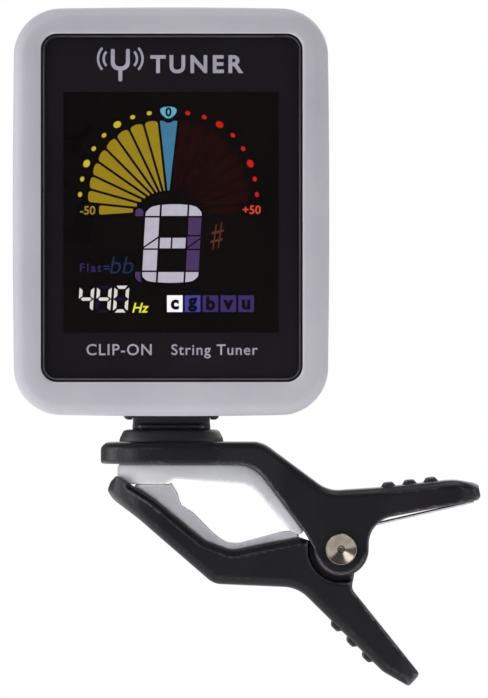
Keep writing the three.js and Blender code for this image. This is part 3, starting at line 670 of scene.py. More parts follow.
def front_plate():
    """The clear plate, with a chamfer round its front edge that carries a painted highlight."""
    front, back = LENS_LOW[1], LENS_HIGH[1]
    chamfer = 0.22
    sections = [(0.0, back), (0.0, front + chamfer), (-chamfer, front)]
    points, faces = [], []
    for grow, y in sections:
        points += [(u, y, v) for u, v in rounded_rectangle(LENS, grow)]
    count = len(points) // len(sections)
    for i in range(len(sections) - 1):
        for k in range(count):
            m = (k + 1) % count
            faces.append((i * count + k, i * count + m, (i + 1) * count + m, (i + 1) * count + k))
    faces.append(range(count))
    faces.append(range(len(points) - 1, len(points) - count - 1, -1))
    plate = mesh_from("front_plate", points, faces)
    face_outwards(plate.data)
    plate.data.set_sharp_from_angle(angle=math.radians(30))
    show(plate, CLEAR, "head", "clear_lens", "face_lens")
    # The chamfer faces take the painted highlight grey.
    plate.data.materials.append(LENS_EDGE_PAINTED_HIGHLIGHT)
    for face in plate.data.polygons[count:2 * count]:
        face.material_index = 1


def rear_cover_field(x, y, z):
    """The rear half of the case with its openings, bosses and hinge ears."""
    split, face = box_mm("rear_cover")[0][1], HEAD_BACK - 0.2
    gap, side_wall, back_wall = 0.15, 1.35, 1.45
    boss_radius, screw_hole, head_hole = 2.6, 1.05, 1.95
    door_lip, key_rim, key_hole = 13.3, 3.3, 2.45
    rim = meet(CAVITY.distance(x, z, -gap), between(y, split, REAR_LIP - gap))
    plateau = meet(REAR_OPENING.distance(x, z, -gap), between(y, REAR_LIP - 1, face), 0.45)
    inside = meet(CAVITY.distance(x, z, -side_wall), y - face + back_wall)
    body = cut(np.minimum(rim, plateau), inside, 0.3)
    for node in SCREWS:
        centre = centre_mm(node)[::2]
        round_boss = meet(rod(x, z, centre, boss_radius), CAVITY.distance(x, z, -gap))
        body = np.minimum(body, meet(round_boss, between(y, split, face - 1.3)))
        body = cut(body, rod(x, z, centre, screw_hole))
        body = cut(body, meet(rod(x, z, centre, head_hole), face - 1.0 - y), 0.12)
    body = cut(body, door_opening(x, z), 0.18)
    lip = np.abs(rod(x, z, (DOOR_X, DOOR_Z), door_lip)) - 0.35
    body = join(body, meet(lip, between(y, face - 0.5, face + 0.22), 0.1), 0.1)
    for use in KEYS:
        centre = centre_mm(f"button_{use}")[::2]
        raised = meet(rod(x, z, centre, key_rim), between(y, face - 0.5, face + 0.25), 0.2)
        body = cut(join(body, raised, 0.25), rod(x, z, centre, key_hole), 0.15)
    return join(body, ears_field(x, y, z), 0.3)


def sectors(u, v, turn, half_angle):
    """Three even sectors about the door's middle, turned some degrees clockwise from its right."""
    for start in (0, 120, 240):
        a = math.radians(-(start + turn))
        ahead, across = u * math.cos(a) + v * math.sin(a), v * math.cos(a) - u * math.sin(a)
        yield np.abs(across) * math.cos(half_angle) - ahead * math.sin(half_angle)


def door_opening(x, z):
    """The door's round hole with the three notches its tabs pass through."""
    radius, notch_radius, notch_half_angle, unlock = 11.45, 12.6, 0.227, 45
    u, v = x - DOOR_X, z - DOOR_Z
    from_middle = np.hypot(u, v)
    hole = from_middle - radius
    for sector in sectors(u, v, unlock + 90, notch_half_angle):
        hole = np.minimum(hole, meet(sector, from_middle - notch_radius, 0.2))
    return hole


def ears_field(x, y, z):
    """Two ears round the tilt pin, and the block that ties them to the cover."""
    away = np.abs(x - SWIVEL_X)
    root, radius, inner, outer = HEAD_BACK - 1.1, 4.03, 5.55, 6.87
    top = TILT_Z + radius
    arm = meet(between(y, root, 0), between(z, TILT_Z - 3.75, top))
    reach = np.minimum(rod(y, z, (0, TILT_Z), radius), arm)
    ears = meet(meet(reach, away - outer, 0.75), inner - away, 0.15)
    tie_plan = meet(away - outer, between(z, TILT_Z - 0.5, top))
    tie = meet(tie_plan, between(y, root, HEAD_BACK - 0.2), 0.2)
    return cut(np.minimum(ears, tie), rod(y, z, (0, TILT_Z), PIN_BORE), 0.15)


def door_field(x, y, z):
    """The battery door: a disc with three tabs, a finger groove and a coin slot."""
    radius, tab_radius, tab_half_angle, tab_thickness = 11.3, 12.4, 0.175, 0.6
    groove_radius, slot_half, slot_round, dot_drop = 9.6, 4.7, 0.85, 8.0
    low, high = box_mm("battery_door")
    inner, outer = low[1], high[1]
    u, v = x - DOOR_X, z - DOOR_Z
    from_middle = np.hypot(u, v)
    body = meet(from_middle - radius, between(y, inner, outer), 0.3)
    for sector in sectors(u, v, 90, tab_half_angle):
        plan = meet(sector, from_middle - tab_radius, 0.2)
        body = np.minimum(body, meet(plan, between(y, inner, inner + tab_thickness), 0.1))
    body = cut(body, meet(np.abs(from_middle - groove_radius) - 0.3, outer - 0.22 - y), 0.1)
    slot_plan = np.hypot(np.maximum(np.abs(u) - slot_half, 0), v) - slot_round
    dot = meet(np.hypot(u, v + dot_drop) - 0.5, between(y, outer - 0.3, outer + 0.15), 0.1)
    return join(cut(body, meet(slot_plan, outer - 0.9 - y), 0.15), dot, 0.1)


def screw_field(x, y, z):
    """A pan-head screw with a cross recess, about the origin, its head's top at 0."""
    thread_depth, thread_pitch, arm = 0.06, 0.5, 1.0
    away = np.hypot(x, z)
    head = meet(away - SCREW_HEAD, between(y, -0.65, 0.0), 0.28)
    thread = thread_depth * np.cos(2 * math.pi * y / thread_pitch)
    shank = meet(away - 0.85 - thread, between(y, -SCREW_LENGTH, -0.6), 0.1)
    taper = 0.22 + 0.16 * (y + 0.45)
    cross = np.minimum(meet(np.abs(x) - arm, np.abs(z) - taper), meet(np.abs(z) - arm, np.abs(x) - taper))
    return cut(np.minimum(head, shank), meet(cross, -0.55 - y), 0.05)


def rear_details():
    """The rear cover, its door, keys and screws."""
    show_moulded("rear_shell", rear_cover_field, "rear_cover", 0.28, CASE_PLASTIC, "head", "black_plastic")
    show_moulded("door_lid", door_field, "battery_door", 0.22, CASE_PLASTIC, "door", "black_plastic")
    for use in KEYS:
        low, high = box_mm(f"button_{use}")
        centre = centre_mm(f"button_{use}") * (1, 0, 1)
        top, end = high[1], low[1]
        flange, dip = top - 2.5, top - 0.14
        profile = [
            (0, end, 0), (1, end, 0.1), (1, flange - 0.7, 0.1), (3, flange - 0.7, 0.1), (3, flange, 0.1),
            (2.3, flange, 0), (2.3, top, 0.35), (1.5, top, 0.8), (0.6, dip, 1.0), (0, dip, 0),
        ]
        key = lathe(f"key_{use}", profile, "y", centre)
        show(key, CASE_PLASTIC, f"{use}_button", "black_plastic", f"button_{use}")
    for node in SCREWS:
        head_top = centre_mm(node)
        head_top[1] = box_mm(node)[1][1]
        low = (-SCREW_HEAD, -SCREW_LENGTH, -SCREW_HEAD)
        screw = moulded(f"{node}_body", screw_field, low, (SCREW_HEAD, 0, SCREW_HEAD), 0.09)
        screw.data.transform(Matrix.Translation(head_top * MM))
        show(screw, STEEL, "head", "bright_steel", node)


# -------------------------------------------------------------------- display

SCREEN_FRONT = box_mm("lcd_glass")[0][1]
FILM = (SCREEN_FRONT - 0.10, SCREEN_FRONT - 0.04)
INK_FRONT = SCREEN_FRONT - 0.13
DIAL_U, DIAL_V = WINDOW.x - 0.36, WINDOW.z + 0.14


def glow(name, loops, colour, film=FILM):
    show(prisms(name, loops, *film), GLOW[colour], "head", "display")


def word(name, text, height, u, v, colour, **style):
    piece = lettering(name, text, height, WINDOW.x + u, WINDOW.z + v, INK_FRONT, **style)
    show(piece, GLOW[colour], "head", "display")


def dial(angle, radius):
    """A place on the dial: degrees to the right of the top, and millimetres out."""
    a = math.radians(angle)
    return np.array([DIAL_U + radius * math.sin(a), DIAL_V + radius * math.cos(a)])


def oval(angle, side, top):
    """Radius of the dial's squarish oval at an angle."""
    a, power = math.radians(angle), 2.35
    return ((abs(math.sin(a)) / side) ** power + (abs(math.cos(a)) / top) ** power) ** (-1 / power)


def turned(step):
    """Angle of a bar or dot, from its step: the marks stand a little closer than the steps."""
    return 1.35 + 0.974 * step


def inner_radius(angle):
    """Radius of the round opening below the bars, centred a little under the dial."""
    a, opening, drop = math.radians(angle), 5.94, 3.0
    return math.sqrt(opening ** 2 - (drop * math.sin(a)) ** 2) - drop * math.cos(a)


def dial_bar(angle, short=0.0, half_angle=4.88, gap=0.17):
    """One bar of the dial: a wedge with a domed outer end."""
    inner = inner_radius(angle)
    first, middle, last = (oval(angle + side * half_angle, 11.5, 12.95) - short for side in (-1, 0, 1))
    corners = []
    for side, radius, rounding in ((-1, inner, 0.06), (-1, first - 0.16, 0.42), (0, middle + 0.14, 1.7),
                                   (1, last - 0.16, 0.42), (1, inner, 0.06)):
        inwards = dial(angle + 90 * -side, 1.0) - dial(0, 0.0) if side else np.zeros(2)
        corners.append((*(dial(angle + side * half_angle, radius) + gap * inwards), rounding))
    return corner_loop(corners, turn_step=0.3)


def pebble(angle, radius, size, squash=0.8):
    """A dot outside the bars, a little flattened along the dial."""
    middle, sides = dial(angle, radius), 16
    turns = [2 * math.pi * s / sides for s in range(sides)]
    a = math.radians(angle)
    along, out = np.array([math.cos(a), -math.sin(a)]), np.array([math.sin(a), math.cos(a)])
    return [middle + size * (math.cos(t) * along + squash * math.sin(t) * out) for t in turns]


def tuning_dial():
    """Bars and dots left and right of the centre needle, its marker and the end numbers."""
    steps = range(10, 100, 10)
    short = {90: 1.6}
    glow("dial_bars_flat", [dial_bar(-turned(step), short.get(step, 0.0)) for step in steps], "amber")
    glow("dial_bars_sharp", [dial_bar(turned(step), short.get(step, 0.0)) for step in steps], "ember")
    for side, colour, name in ((-1, "lamp", "flat"), (1, "red", "sharp")):
        dots = []
        for step in steps[:-1]:
            size = 0.58 if step in (30, 60) else 0.37
            dots.append(pebble(side * turned(step), oval(turned(step), 12.65, 14.1), size))
        glow(f"dial_dots_{name}", dots, colour)
    top, notch, tip = 12.85, 0.42, inner_radius(0)
    needle = [(-1.22, top, 0.1), (-0.75, top, 0.4), (0, top - notch, 0.9), (0.75, top, 0.4),
              (1.27, top, 0.1), (0.14, tip, 0.1), (-0.14, tip, 0.1)]
    outline = [(DIAL_U + u, DIAL_V + v, r) for u, v, r in needle]
    glow("dial_needle", [corner_loop(outline, turn_step=0.3)], "needle")
    lift = 13.9
    shield = [(-1.3, 0.66, 0.45), (0, 1.14, 2.6), (1.3, 0.66, 0.45), (1.0, -0.1, 0.8), (0, -0.98, 0.8),
              (-1.0, -0.1, 0.8)]
    outline = [(DIAL_U + u, DIAL_V + lift + v, r) for u, v, r in shield]
    glow("dial_marker", [corner_loop(outline)], "marker")
    word("dial_zero", "0", 1.25, -0.36, lift + 0.28, "ink", weight=0.06)
    word("dial_low_end", "-50", 1.22, -11.85, 0.20, "amber", weight=0.03)
    word("dial_high_end", "+50", 1.22, 11.45, 0.28, "scarlet", weight=0.03)


def cell(u0, u1, v0, v1, rounds=(0, 0, 0, 0)):
    """A box's corners from its lower left, going round to its upper left."""
    return [(u0, v0, rounds[0]), (u1, v0, rounds[1]), (u1, v1, rounds[2]), (u0, v1, rounds[3])]


def slanted(corners, centre, lean):
    """Corners leaned to the right, placed about a centre in the window."""
    leaning = [(WINDOW.x + centre[0] + u + lean * v, WINDOW.z + centre[1] + v, r) for u, v, r in corners]
    return corner_loop(leaning, turn_step=0.25)


def note_digit():
    """The big note character, made of blocks in three columns and five rows."""
    left, middle, right = (-4.0, -2.0), (-1.72, 1.92), (2.18, 4.0)
    top, bottom = (3.94, 5.5), (-5.5, -4.05)
    lit = [
        [*cell(*left, *top)[:3], (-3.3, 5.2, 1.2), (-3.95, 4.45, 0.4)],
        [*cell(*middle, *top)[:3], (0.1, 5.64, 9), cell(*middle, *top)[3]],
        [*cell(*right, *top)[:2], (3.95, 4.45, 0.4), (3.3, 5.2, 1.2), cell(*right, *top)[3]],
        [(left[0], -0.40, 0.05), (left[1], 1.04, 0.05), (left[1], 3.69, 0.05), (left[0], 3.69, 0.05)],
        [(left[0], -0.67, 0.02), (left[1], -0.67, 0.02), (left[1], 0.74, 0.02)],
        cell(-1.72, -0.18, -0.67, 0.82), cell(0.06, 1.92, -0.67, 0.82),
        cell(*left, -3.82, -0.90),
        [(-3.95, -4.7, 0.4), (-3.3, -5.3, 1.0), *cell(*left, *bottom)[1:]],
        [cell(*middle, *bottom)[0], (0.1, -5.6, 9), *cell(*middle, *bottom)[1:]],
        [cell(*right, *bottom)[0], (3.3, -5.3, 1.0), (3.95, -4.7, 0.4), *cell(*right, *bottom)[2:]],
    ]
    unlit = [
        cell(*right, 1.22, 3.69), cell(*right, -3.82, -0.94),
        [(right[0], -0.50, 0.02), (right[1], 0.86, 0.02), (right[1], 1.02, 0.02), (right[0], 1.02, 0.02)],
        [(right[0], -0.74, 0.02), (right[1], -0.74, 0.02), (right[1], 0.62, 0.02)],
        cell(-5.45, -4.30, 3.9, 5.0, (0.1, 0.1, 0.6, 0.5)),
        cell(-5.0, -4.25, -5.45, -4.0, (0.9, 0.1, 0.1, 0.1)),
    ]
    centre, lean = (0.14, -4.46), 0.055
    glow("note_lit", [slanted(c, centre, lean) for c in lit], "white")
    glow("note_unlit", [slanted(c, centre, lean) for c in unlit], "violet")


SEGMENTS = {  # ends of the seven bars of a small digit, in half widths and half heights
    "top": ((-1, 1), (1, 1)), "upper_left": ((-1, 1), (-1, 0)), "upper_right": ((1, 1), (1, 0)),
    "middle": ((-1, 0), (1, 0)), "lower_left": ((-1, 0), (-1, -1)), "lower_right": ((1, 0), (1, -1)),
    "bottom": ((-1, -1), (1, -1)),
}
DIGITS = {"4": ["upper_left", "upper_right", "middle", "lower_right"],
          "0": ["top", "upper_left", "upper_right", "lower_left", "lower_right", "bottom"]}


def segment_bar(name, centre):
    """One bar of a small digit: mitred at its ends, or pointed if it is the middle one."""
    half_width, half_height, thick, gap = 0.82, 1.68, 0.23, 0.05
    (u0, v0), (u1, v1) = [np.array(p) * (half_width, half_height) for p in SEGMENTS[name]]
    along = np.array([u1 - u0, v1 - v0])
    along /= np.linalg.norm(along)
    across = np.array([-along[1], along[0]]) * thick
    start, end = np.array([u0, v0]) + along * gap, np.array([u1, v1]) - along * gap
    if name == "middle":
        points = [start, start + along * thick - across, end - along * thick - across, end,
                  end - along * thick + across, start + along * thick + across]
    else:
        out = across * np.sign((start + end) @ across)
        mitre = 1.6 * thick * along
        points = [start + out, end + out, end - mitre - out, start + mitre - out]
    return slanted([(*p, 0.03) for p in points], centre, 0.07)


def pitch_reading():
    """The reference pitch, its unit, and the mode boxes beside it."""
    lit, unlit = [], []
    first, pitch, row = -12.05, 2.48, -12.35
    for i, figure in enumerate("440"):
        centre = (first + pitch * i, row)
        for name in SEGMENTS:
            if name in DIGITS[figure]:
                lit.append(segment_bar(name, centre))
            elif i > 0:
                unlit.append(segment_bar(name, centre))
    glow("pitch_lit", lit, "cream")
    glow("pitch_unlit", unlit, "shade")
    word("pitch_unit", "Hz", 1.42, -4.5, -13.65, "lemon", slant=0.25, weight=0.03)
    letters = "cgbvu"
    width, height, pitch, first, row = 2.22, 2.38, 2.535, 0.54, -13.0
    middles = [first + pitch * i for i in range(len(letters))]
    boxes = [cell(u - width / 2, u + width / 2, -height / 2, height / 2) for u in middles]
    placed = [slanted(box, (0, row), 0.0) for box in boxes]
    glow("mode_box_on", placed[:1], "paper")
    glow("mode_box_next", placed[1:2], "indigo")
    glow("mode_boxes_off", placed[2:], "plum")
    for letter, u in zip(letters, middles):
        rise = 0.06 + {"g": 0.28, "b": -0.1}.get(letter, 0.0)
        word(f"mode_letter_{letter}", letter, 1.85, u, row + rise, "ink", weight=0.12)


def faint_marks():
    """Marks on the display that aren't lit: a sharp sign and the flat setting."""
    strokes = [cell(-0.42, -0.24, -2.0, 1.7), cell(0.30, 0.48, -1.7, 2.0)]
    for v in (-0.62, 0.62):
        strokes.append([(-0.85, v - 0.40, 0.05), (0.85, v + 0.02, 0.05), (0.85, v + 0.36, 0.05),
                        (-0.85, v - 0.06, 0.05)])
    glow("sharp_sign", [slanted(stroke, (6.55, -3.4), 0.14) for stroke in strokes], "rust")
    word("flat_label", "Flat=", 1.25, -10.85, -7.95, "dusk", weight=0.02, spacing=1.25)
    word("flat_signs", "bb", 2.6, -7.15, -7.65, "slate", slant=0.2, weight=-0.02)


def legends():
    """Generic print on the panel: a tuning fork, and plain words for what the object is."""
    print_front = LENS_HIGH[1] + 0.04
    film = (print_front, print_front + 0.03)
    fork = [
        (-1.35, 2.3, 0.2), (-1.35, -0.75, 1.1), (-0.28, -0.75, 0.1), (-0.28, -2.3, 0.2), (0.28, -2.3, 0.2),
        (0.28, -0.75, 0.1), (1.35, -0.75, 1.1), (1.35, 2.3, 0.2), (0.80, 2.3, 0.2), (0.80, -0.2, 0.7),
        (-0.80, -0.2, 0.7), (-0.80, 2.3, 0.2),
    ]
    fork_u, row, foot_row = -7.2, 20.9, -19.62
    loops = [slanted(fork, (fork_u, row), 0.0)]
    hub, thickness, sweep = 0.9, 0.34, np.linspace(-0.75, 0.75, 9)
    for side in (-1, 1):
        for radius in (1.3, 2.1):
            wave = [(radius, a) for a in sweep] + [(radius + thickness, a) for a in sweep[::-1]]
            loops.append([(WINDOW.x + fork_u + side * (hub + r * math.cos(a)),
                           WINDOW.z + row + hub + r * math.sin(a)) for r, a in wave])
    show(prisms("legend_fork", loops, *film), LEGEND_INK, "head", "gloss_black")
    for name, text, height, u, v, spacing, weight in (
        ("legend_top", "TUNER", 2.5, 3.6, row, 1.28, 0.10),
        ("legend_left", "CLIP-ON", 1.62, -7.35, foot_row, 1.12, 0.02),
        ("legend_right", "String Tuner", 1.55, 6.15, foot_row, 1.12, 0.02),
    ):
        piece = lettering(name, text, height, WINDOW.x + u, WINDOW.z + v, film[0], spacing=spacing,
                          weight=weight)
        show(piece, LEGEND_INK, "head", "gloss_black")


# ----------------------------------------------------------------------- neck

def neck_field(x, y, z):
    """The post: a knuckle round the tilt pin, a web, a round foot and the swivel's stem."""
    half_width, knuckle_radius, web_half, foot_half, stem_radius = 5.5, 3.8, 2.8, 3.4, 3.1
    away = x - SWIVEL_X
    from_axis = np.hypot(away, y)
    foot_z = box_mm("swivel_collar")[1][2] + 0.04
    knuckle = meet(rod(y, z, (0, TILT_Z), knuckle_radius), np.abs(away) - half_width, 0.4)
    web_plan = meet(np.abs(away) - half_width, np.abs(y) - web_half, 0.5)
    web = meet(web_plan, between(z, foot_z, TILT_Z))
    disc = meet(from_axis - half_width, np.abs(y) - foot_half, 0.2)
    foot = meet(disc, between(z, foot_z, foot_z + 0.65), 0.18)
    stem = meet(from_axis - stem_radius, between(z, foot_z - 3.7, foot_z + 0.25), 0.2)
    body = join(join(join(knuckle, web, 0.3), foot, 0.25), stem)
    body = cut(body, rod(y, z, (0, TILT_Z), PIN_BORE), 0.1)
    return cut(body, meet(from_axis - 1.1, z - foot_z + 0.45))


def neck():
    show_moulded("neck_post", neck_field, "swivel_neck", 0.2, NECK_PLASTIC_PAINTED_LIGHT, "neck", "black_plastic")
    low, high = box_mm("tilt_pin")
    half = (high[0] - low[0]) / 2
    pin = [(0, -half, 0), (1.2, -half, 0.2), (1.2, half, 0.2), (0, half, 0)]
    piece = lathe("hinge_pin", pin, "x", (SWIVEL_X, 0, TILT_Z), 40)
    show(piece, STEEL, "neck", "bright_steel", "tilt_pin")
    low, high = box_mm("swivel_collar")
    base, top = low[2] - 0.14, high[2]
    groove = top - 0.18
    collar = [(3.35, base, 0.1), (7.45, base, 0.05), (7.36, base + 0.5, 0.5), (6.8, top - 0.1, 0.75),
              (6.2, top, 0.2), (5.9, top, 0.1), (5.75, groove, 0.1), (5.2, groove, 0.1), (5.05, top, 0.1),
              (3.35, top, 0.1)]
    piece = lathe("collar_ring", collar, "z", (SWIVEL_X, 0, 0), 96)
    show(piece, CASE_PLASTIC, "clip_body", "black_plastic", "swivel_collar")


# ----------------------------------------------------------------------- clip

UPPER_SIDE = [
    (-9, 6.05, 0), (16.5, 6.05, 4), (25.95, -0.95, 4.5), (33, -0.5, 12), (43.9, 0.68, 8),
    (47.6, 0.02, 0.45), (47.9, -1.75, 0.35), (47.3, -2.28, 0.35), (31.75, -5.25, 4),
    (31.7, -13.12, 3.85), (23.95, -13.12, 3.85), (23.95, -9.2, 0.8), (22.35, -6.5, 0.6), (15.35, 2.88, 4.9),
    (-9, 2.88, 0),
]
UPPER_PLAN = mirrored([
    (-6.54, 10.1, 10.09), (10, 10.1, 8), (20, 7, 8), (34, 7, 10), (42, 7.8, 10), (48.1, 7.8, 4),
])
LOWER_SIDE = [
    (-4.3, 1.2, 0.2), (-6.4, -1.0, 0), (-1.2, -4.85, 15), (9.6, -14.2, 3), (21.6, -14.75, 5),
    (33.7, -26.7, 3), (37.45, -28.85, 0.45), (39.1, -27.2, 0.45), (29.25, -14.9, 1.5), (29.75, -12.6, 0.6),
    (27.8, -11, 0), (24.5, -10.4, 0), (24.4, -8.4, 0.4), (22.5, -7.87, 0.2), (21.95, -7.65, 0.2),
    (12.2, -9.6, 3), (8.3, -8.15, 3), (1, -2.15, 6),
]
LOWER_PLAN = mirrored([
    (-5.8, 9.05, 9.04), (10, 9.05, 8), (20, 7, 8), (28, 7, 6), (34, 7.6, 8), (39.3, 7.6, 4),
])
UPPER_PAD_SIDE = [
    (-4.1, 3.0, 0.1), (15.42, 3.0, 4.98), (22.55, -6.65, 0.3), (21.9, -7.2, 0.4), (20.75, -6.8, 0.4),
    (14.9, 0, 4), (5, 0.75, 2), (4, 0.8, 0.8), (2.5, 0, 0.6), (-2.3, 0, 0.5), (-4.25, 1.22, 0.2),
]
LOWER_PAD_SIDE = [
    (-1.55, -0.04, 0.15), (3.2, -0.04, 0.1), (3.5, 0.2, 0.15), (4.45, -1.35, 1.0), (4.72, -2.45, 0.5),
    (5.0, -3.05, 0.5), (6.7, -4.1, 3), (9.5, -6.95, 3), (11.4, -8.4, 3.2), (13.2, -8.45, 3),
    (19.6, -6.75, 2), (21.6, -6.7, 0.2), (21.85, -7.73, 0.1), (12.2, -9.72, 3), (8.3, -8.27, 3),
    (1, -2.27, 6), (-1.75, -0.5, 0.1),
]
PAD_PLAN = mirrored([(-4.2, 7.5, 7.49), (10, 7.5, 6), (18, 6, 6), (24, 6, 0.5)])
CHEEK_OUT, KNUCKLE_OUT, SPRING_ROOM, BORE = 7.0, 4.4, 2.45, 1.5
COIL_RADIUS, WIRE_RADIUS, COIL_TURNS, COIL_PITCH = 2.38, 0.22, 4, 0.86
UPPER_LEG, LOWER_LEG = (12.9, 20.0), (-54.5, 14.5)  # angle in degrees, length

upper_side, upper_plan = corner_loop(UPPER_SIDE), corner_loop(UPPER_PLAN)
lower_side, lower_plan = corner_loop(LOWER_SIDE), corner_loop(LOWER_PLAN)
upper_back = corner_loop(UPPER_SIDE[:6], closed=False)
lower_back = corner_loop(LOWER_SIDE[1:7], closed=False)
upper_pad_side, lower_pad_side = corner_loop(UPPER_PAD_SIDE), corner_loop(LOWER_PAD_SIDE)
upper_seat = corner_loop(UPPER_PAD_SIDE[:3], closed=False)
lower_seat = corner_loop(LOWER_PAD_SIDE[12:], closed=False)
pad_plan = corner_loop(PAD_PLAN)


def along_leg(leg, side, distance, offset):
    """A point on a spring leg's line, some way out along it and off to its outer side."""
    a = math.radians(leg[0])
    out = COIL_RADIUS + offset
    return (PIVOT_X + math.cos(a) * distance - side * math.sin(a) * out,
            PIVOT_Z + math.sin(a) * distance + side * math.cos(a) * out)


def leg_channel(leg, side, x, y, z):
    """The channel in a handle that a spring leg lies in."""
    corners = [(0, -2.5), (leg[1] + 0.5, -2.5), (leg[1] + 0.5, 0.6), (0, 0.6)]
    outline = np.array([along_leg(leg, side, distance, offset) for distance, offset in corners])
    return meet(loop_distance(outline, x, z), np.abs(y) - SPRING_ROOM, 0.1)


def grip_ribs(x, y, z, first, last, angle, flip):
    """Three low bars across a handle, standing on the line between two points."""
    ribs = np.inf
    height, half_length, lean = 0.56, 5.6, 0.7
    a = math.radians(angle)
    for t in (0, 0.5, 1):
        u0, v0 = first[0] + t * (last[0] - first[0]), first[1] + t * (last[1] - first[1])
        along = (x - u0) * math.cos(a) + (z - v0) * math.sin(a)
        up = flip * ((z - v0) * math.cos(a) - (x - u0) * math.sin(a))
        flank = np.abs(along - 0.12) - 0.60 - lean * (height - up)
        bar = meet(meet(flank, between(up, -0.5, height), 0.14), np.abs(y) - half_length, 0.3)
        ribs = np.minimum(ribs, bar)
    return ribs


def edge_radius(back, x, z):
    """Edges are soft along a lever's back and crisp on its jaw side."""
    distance, _ = path_distance(back, x, z)
    return np.clip(1.6 - 0.38 * distance, 0.3, 1.45)


def upper_lever_field(x, y, z):
    """The upper lever: platform, arm, two cheeks round the pivot, and handle."""
    side = loop_distance(upper_side, x, z)
    body = meet(side, loop_distance(upper_plan, x, y), edge_radius(upper_back, x, z))
    body = join(body, grip_ribs(x, y, z, (34.45, -0.28), (40.5, 0.42), 6.5, 1), 0.12)
    to_pivot = np.hypot(x - PIVOT_X, z - PIVOT_Z)
    boss_height = 0.2 * np.clip((PIVOT_Z - z) / 1.5, 0, 1)
    boss = meet(meet(to_pivot - 3.62, np.abs(y) - CHEEK_OUT - boss_height, 0.15), z - PIVOT_Z)
    body = join(body, boss, 0.1)
    room = KNUCKLE_OUT + 0.15
    body = cut(body, meet(to_pivot - 3.95, np.abs(y) - room), 0.1)
    relief = meet(between(x, 22, 24.8), between(z, -9.6, -6.9))
    body = cut(body, meet(relief, np.abs(y) - room))
    body = cut(body, to_pivot - BORE, 0.1)
    body = cut(body, leg_channel(UPPER_LEG, 1, x, y, z), 0.2)
    body = cut(body, np.hypot(x - SWIVEL_X, y) - 3.35, 0.1)
    return cut(body, meet(np.hypot(x - SWIVEL_X, y) - 5.0, z - 4.3))


def lower_lever_field(x, y, z):
    """The lower lever: jaw arm, knuckles between the cheeks, recess round them, and handle."""
    side, plan = loop_distance(lower_side, x, z), loop_distance(lower_plan, x, y)
    body = meet(side, plan, edge_radius(lower_back, x, z))
    from_seat, _ = path_distance(lower_seat, x, z)
    body = meet(body, (side + plan + 0.85) / math.sqrt(2) - np.maximum(from_seat - 1.0, 0), 0.07)
    body = join(body, grip_ribs(x, y, z, (27.05, -20.15), (31.5, -24.55), -44.6, -1), 0.12)
    to_pivot = np.hypot(x - PIVOT_X, z - PIVOT_Z)
    body = cut(body, meet(to_pivot - 4.75, KNUCKLE_OUT - np.abs(y), 0.05), 0.42)
    body = join(body, meet(to_pivot - 3.65, np.abs(y) - KNUCKLE_OUT, 0.1), 0.15)
    body = cut(body, meet(to_pivot - 3.7, np.abs(y) - SPRING_ROOM), 0.1)
    body = cut(body, to_pivot - BORE, 0.05)
    return cut(body, leg_channel(LOWER_LEG, -1, x, y, z), 0.2)


def pad_field(side_loop, seat, roundness):
    """A grip pad: narrower than the lever, its front rolling back towards the lever's seat."""
    def field(x, y, z):
        distance, _ = path_distance(seat, x, z)
        rounding = np.clip(roundness - 0.8 * distance, 0.15, roundness)
        return meet(loop_distance(side_loop, x, z), loop_distance(pad_plan, x, y), rounding)
    return field


def spring_path():
    """The spring's wire: in along the upper leg, round the coil, out along the lower leg."""
    length, leg_start, leg_points = COIL_TURNS * COIL_PITCH, 0.6, 12
    start = math.radians(UPPER_LEG[0] + 90)
    end = math.radians(LOWER_LEG[0] + 270 + 360 * COIL_TURNS)
    points = []
    for distance in np.linspace(UPPER_LEG[1], leg_start, leg_points):
        u, v = along_leg(UPPER_LEG, 1, distance, 0)
        points.append((u, -length / 2, v))
    steps = 28 * COIL_TURNS
    for s in range(steps + 1):
        a = start + (end - start) * s / steps
        y = length * (s / steps - 0.5)
        points.append((PIVOT_X + COIL_RADIUS * math.cos(a), y, PIVOT_Z + COIL_RADIUS * math.sin(a)))
    for distance in np.linspace(leg_start, LOWER_LEG[1], leg_points):
        u, v = along_leg(LOWER_LEG, -1, distance, 0)
        points.append((u, length / 2, v))
    return points


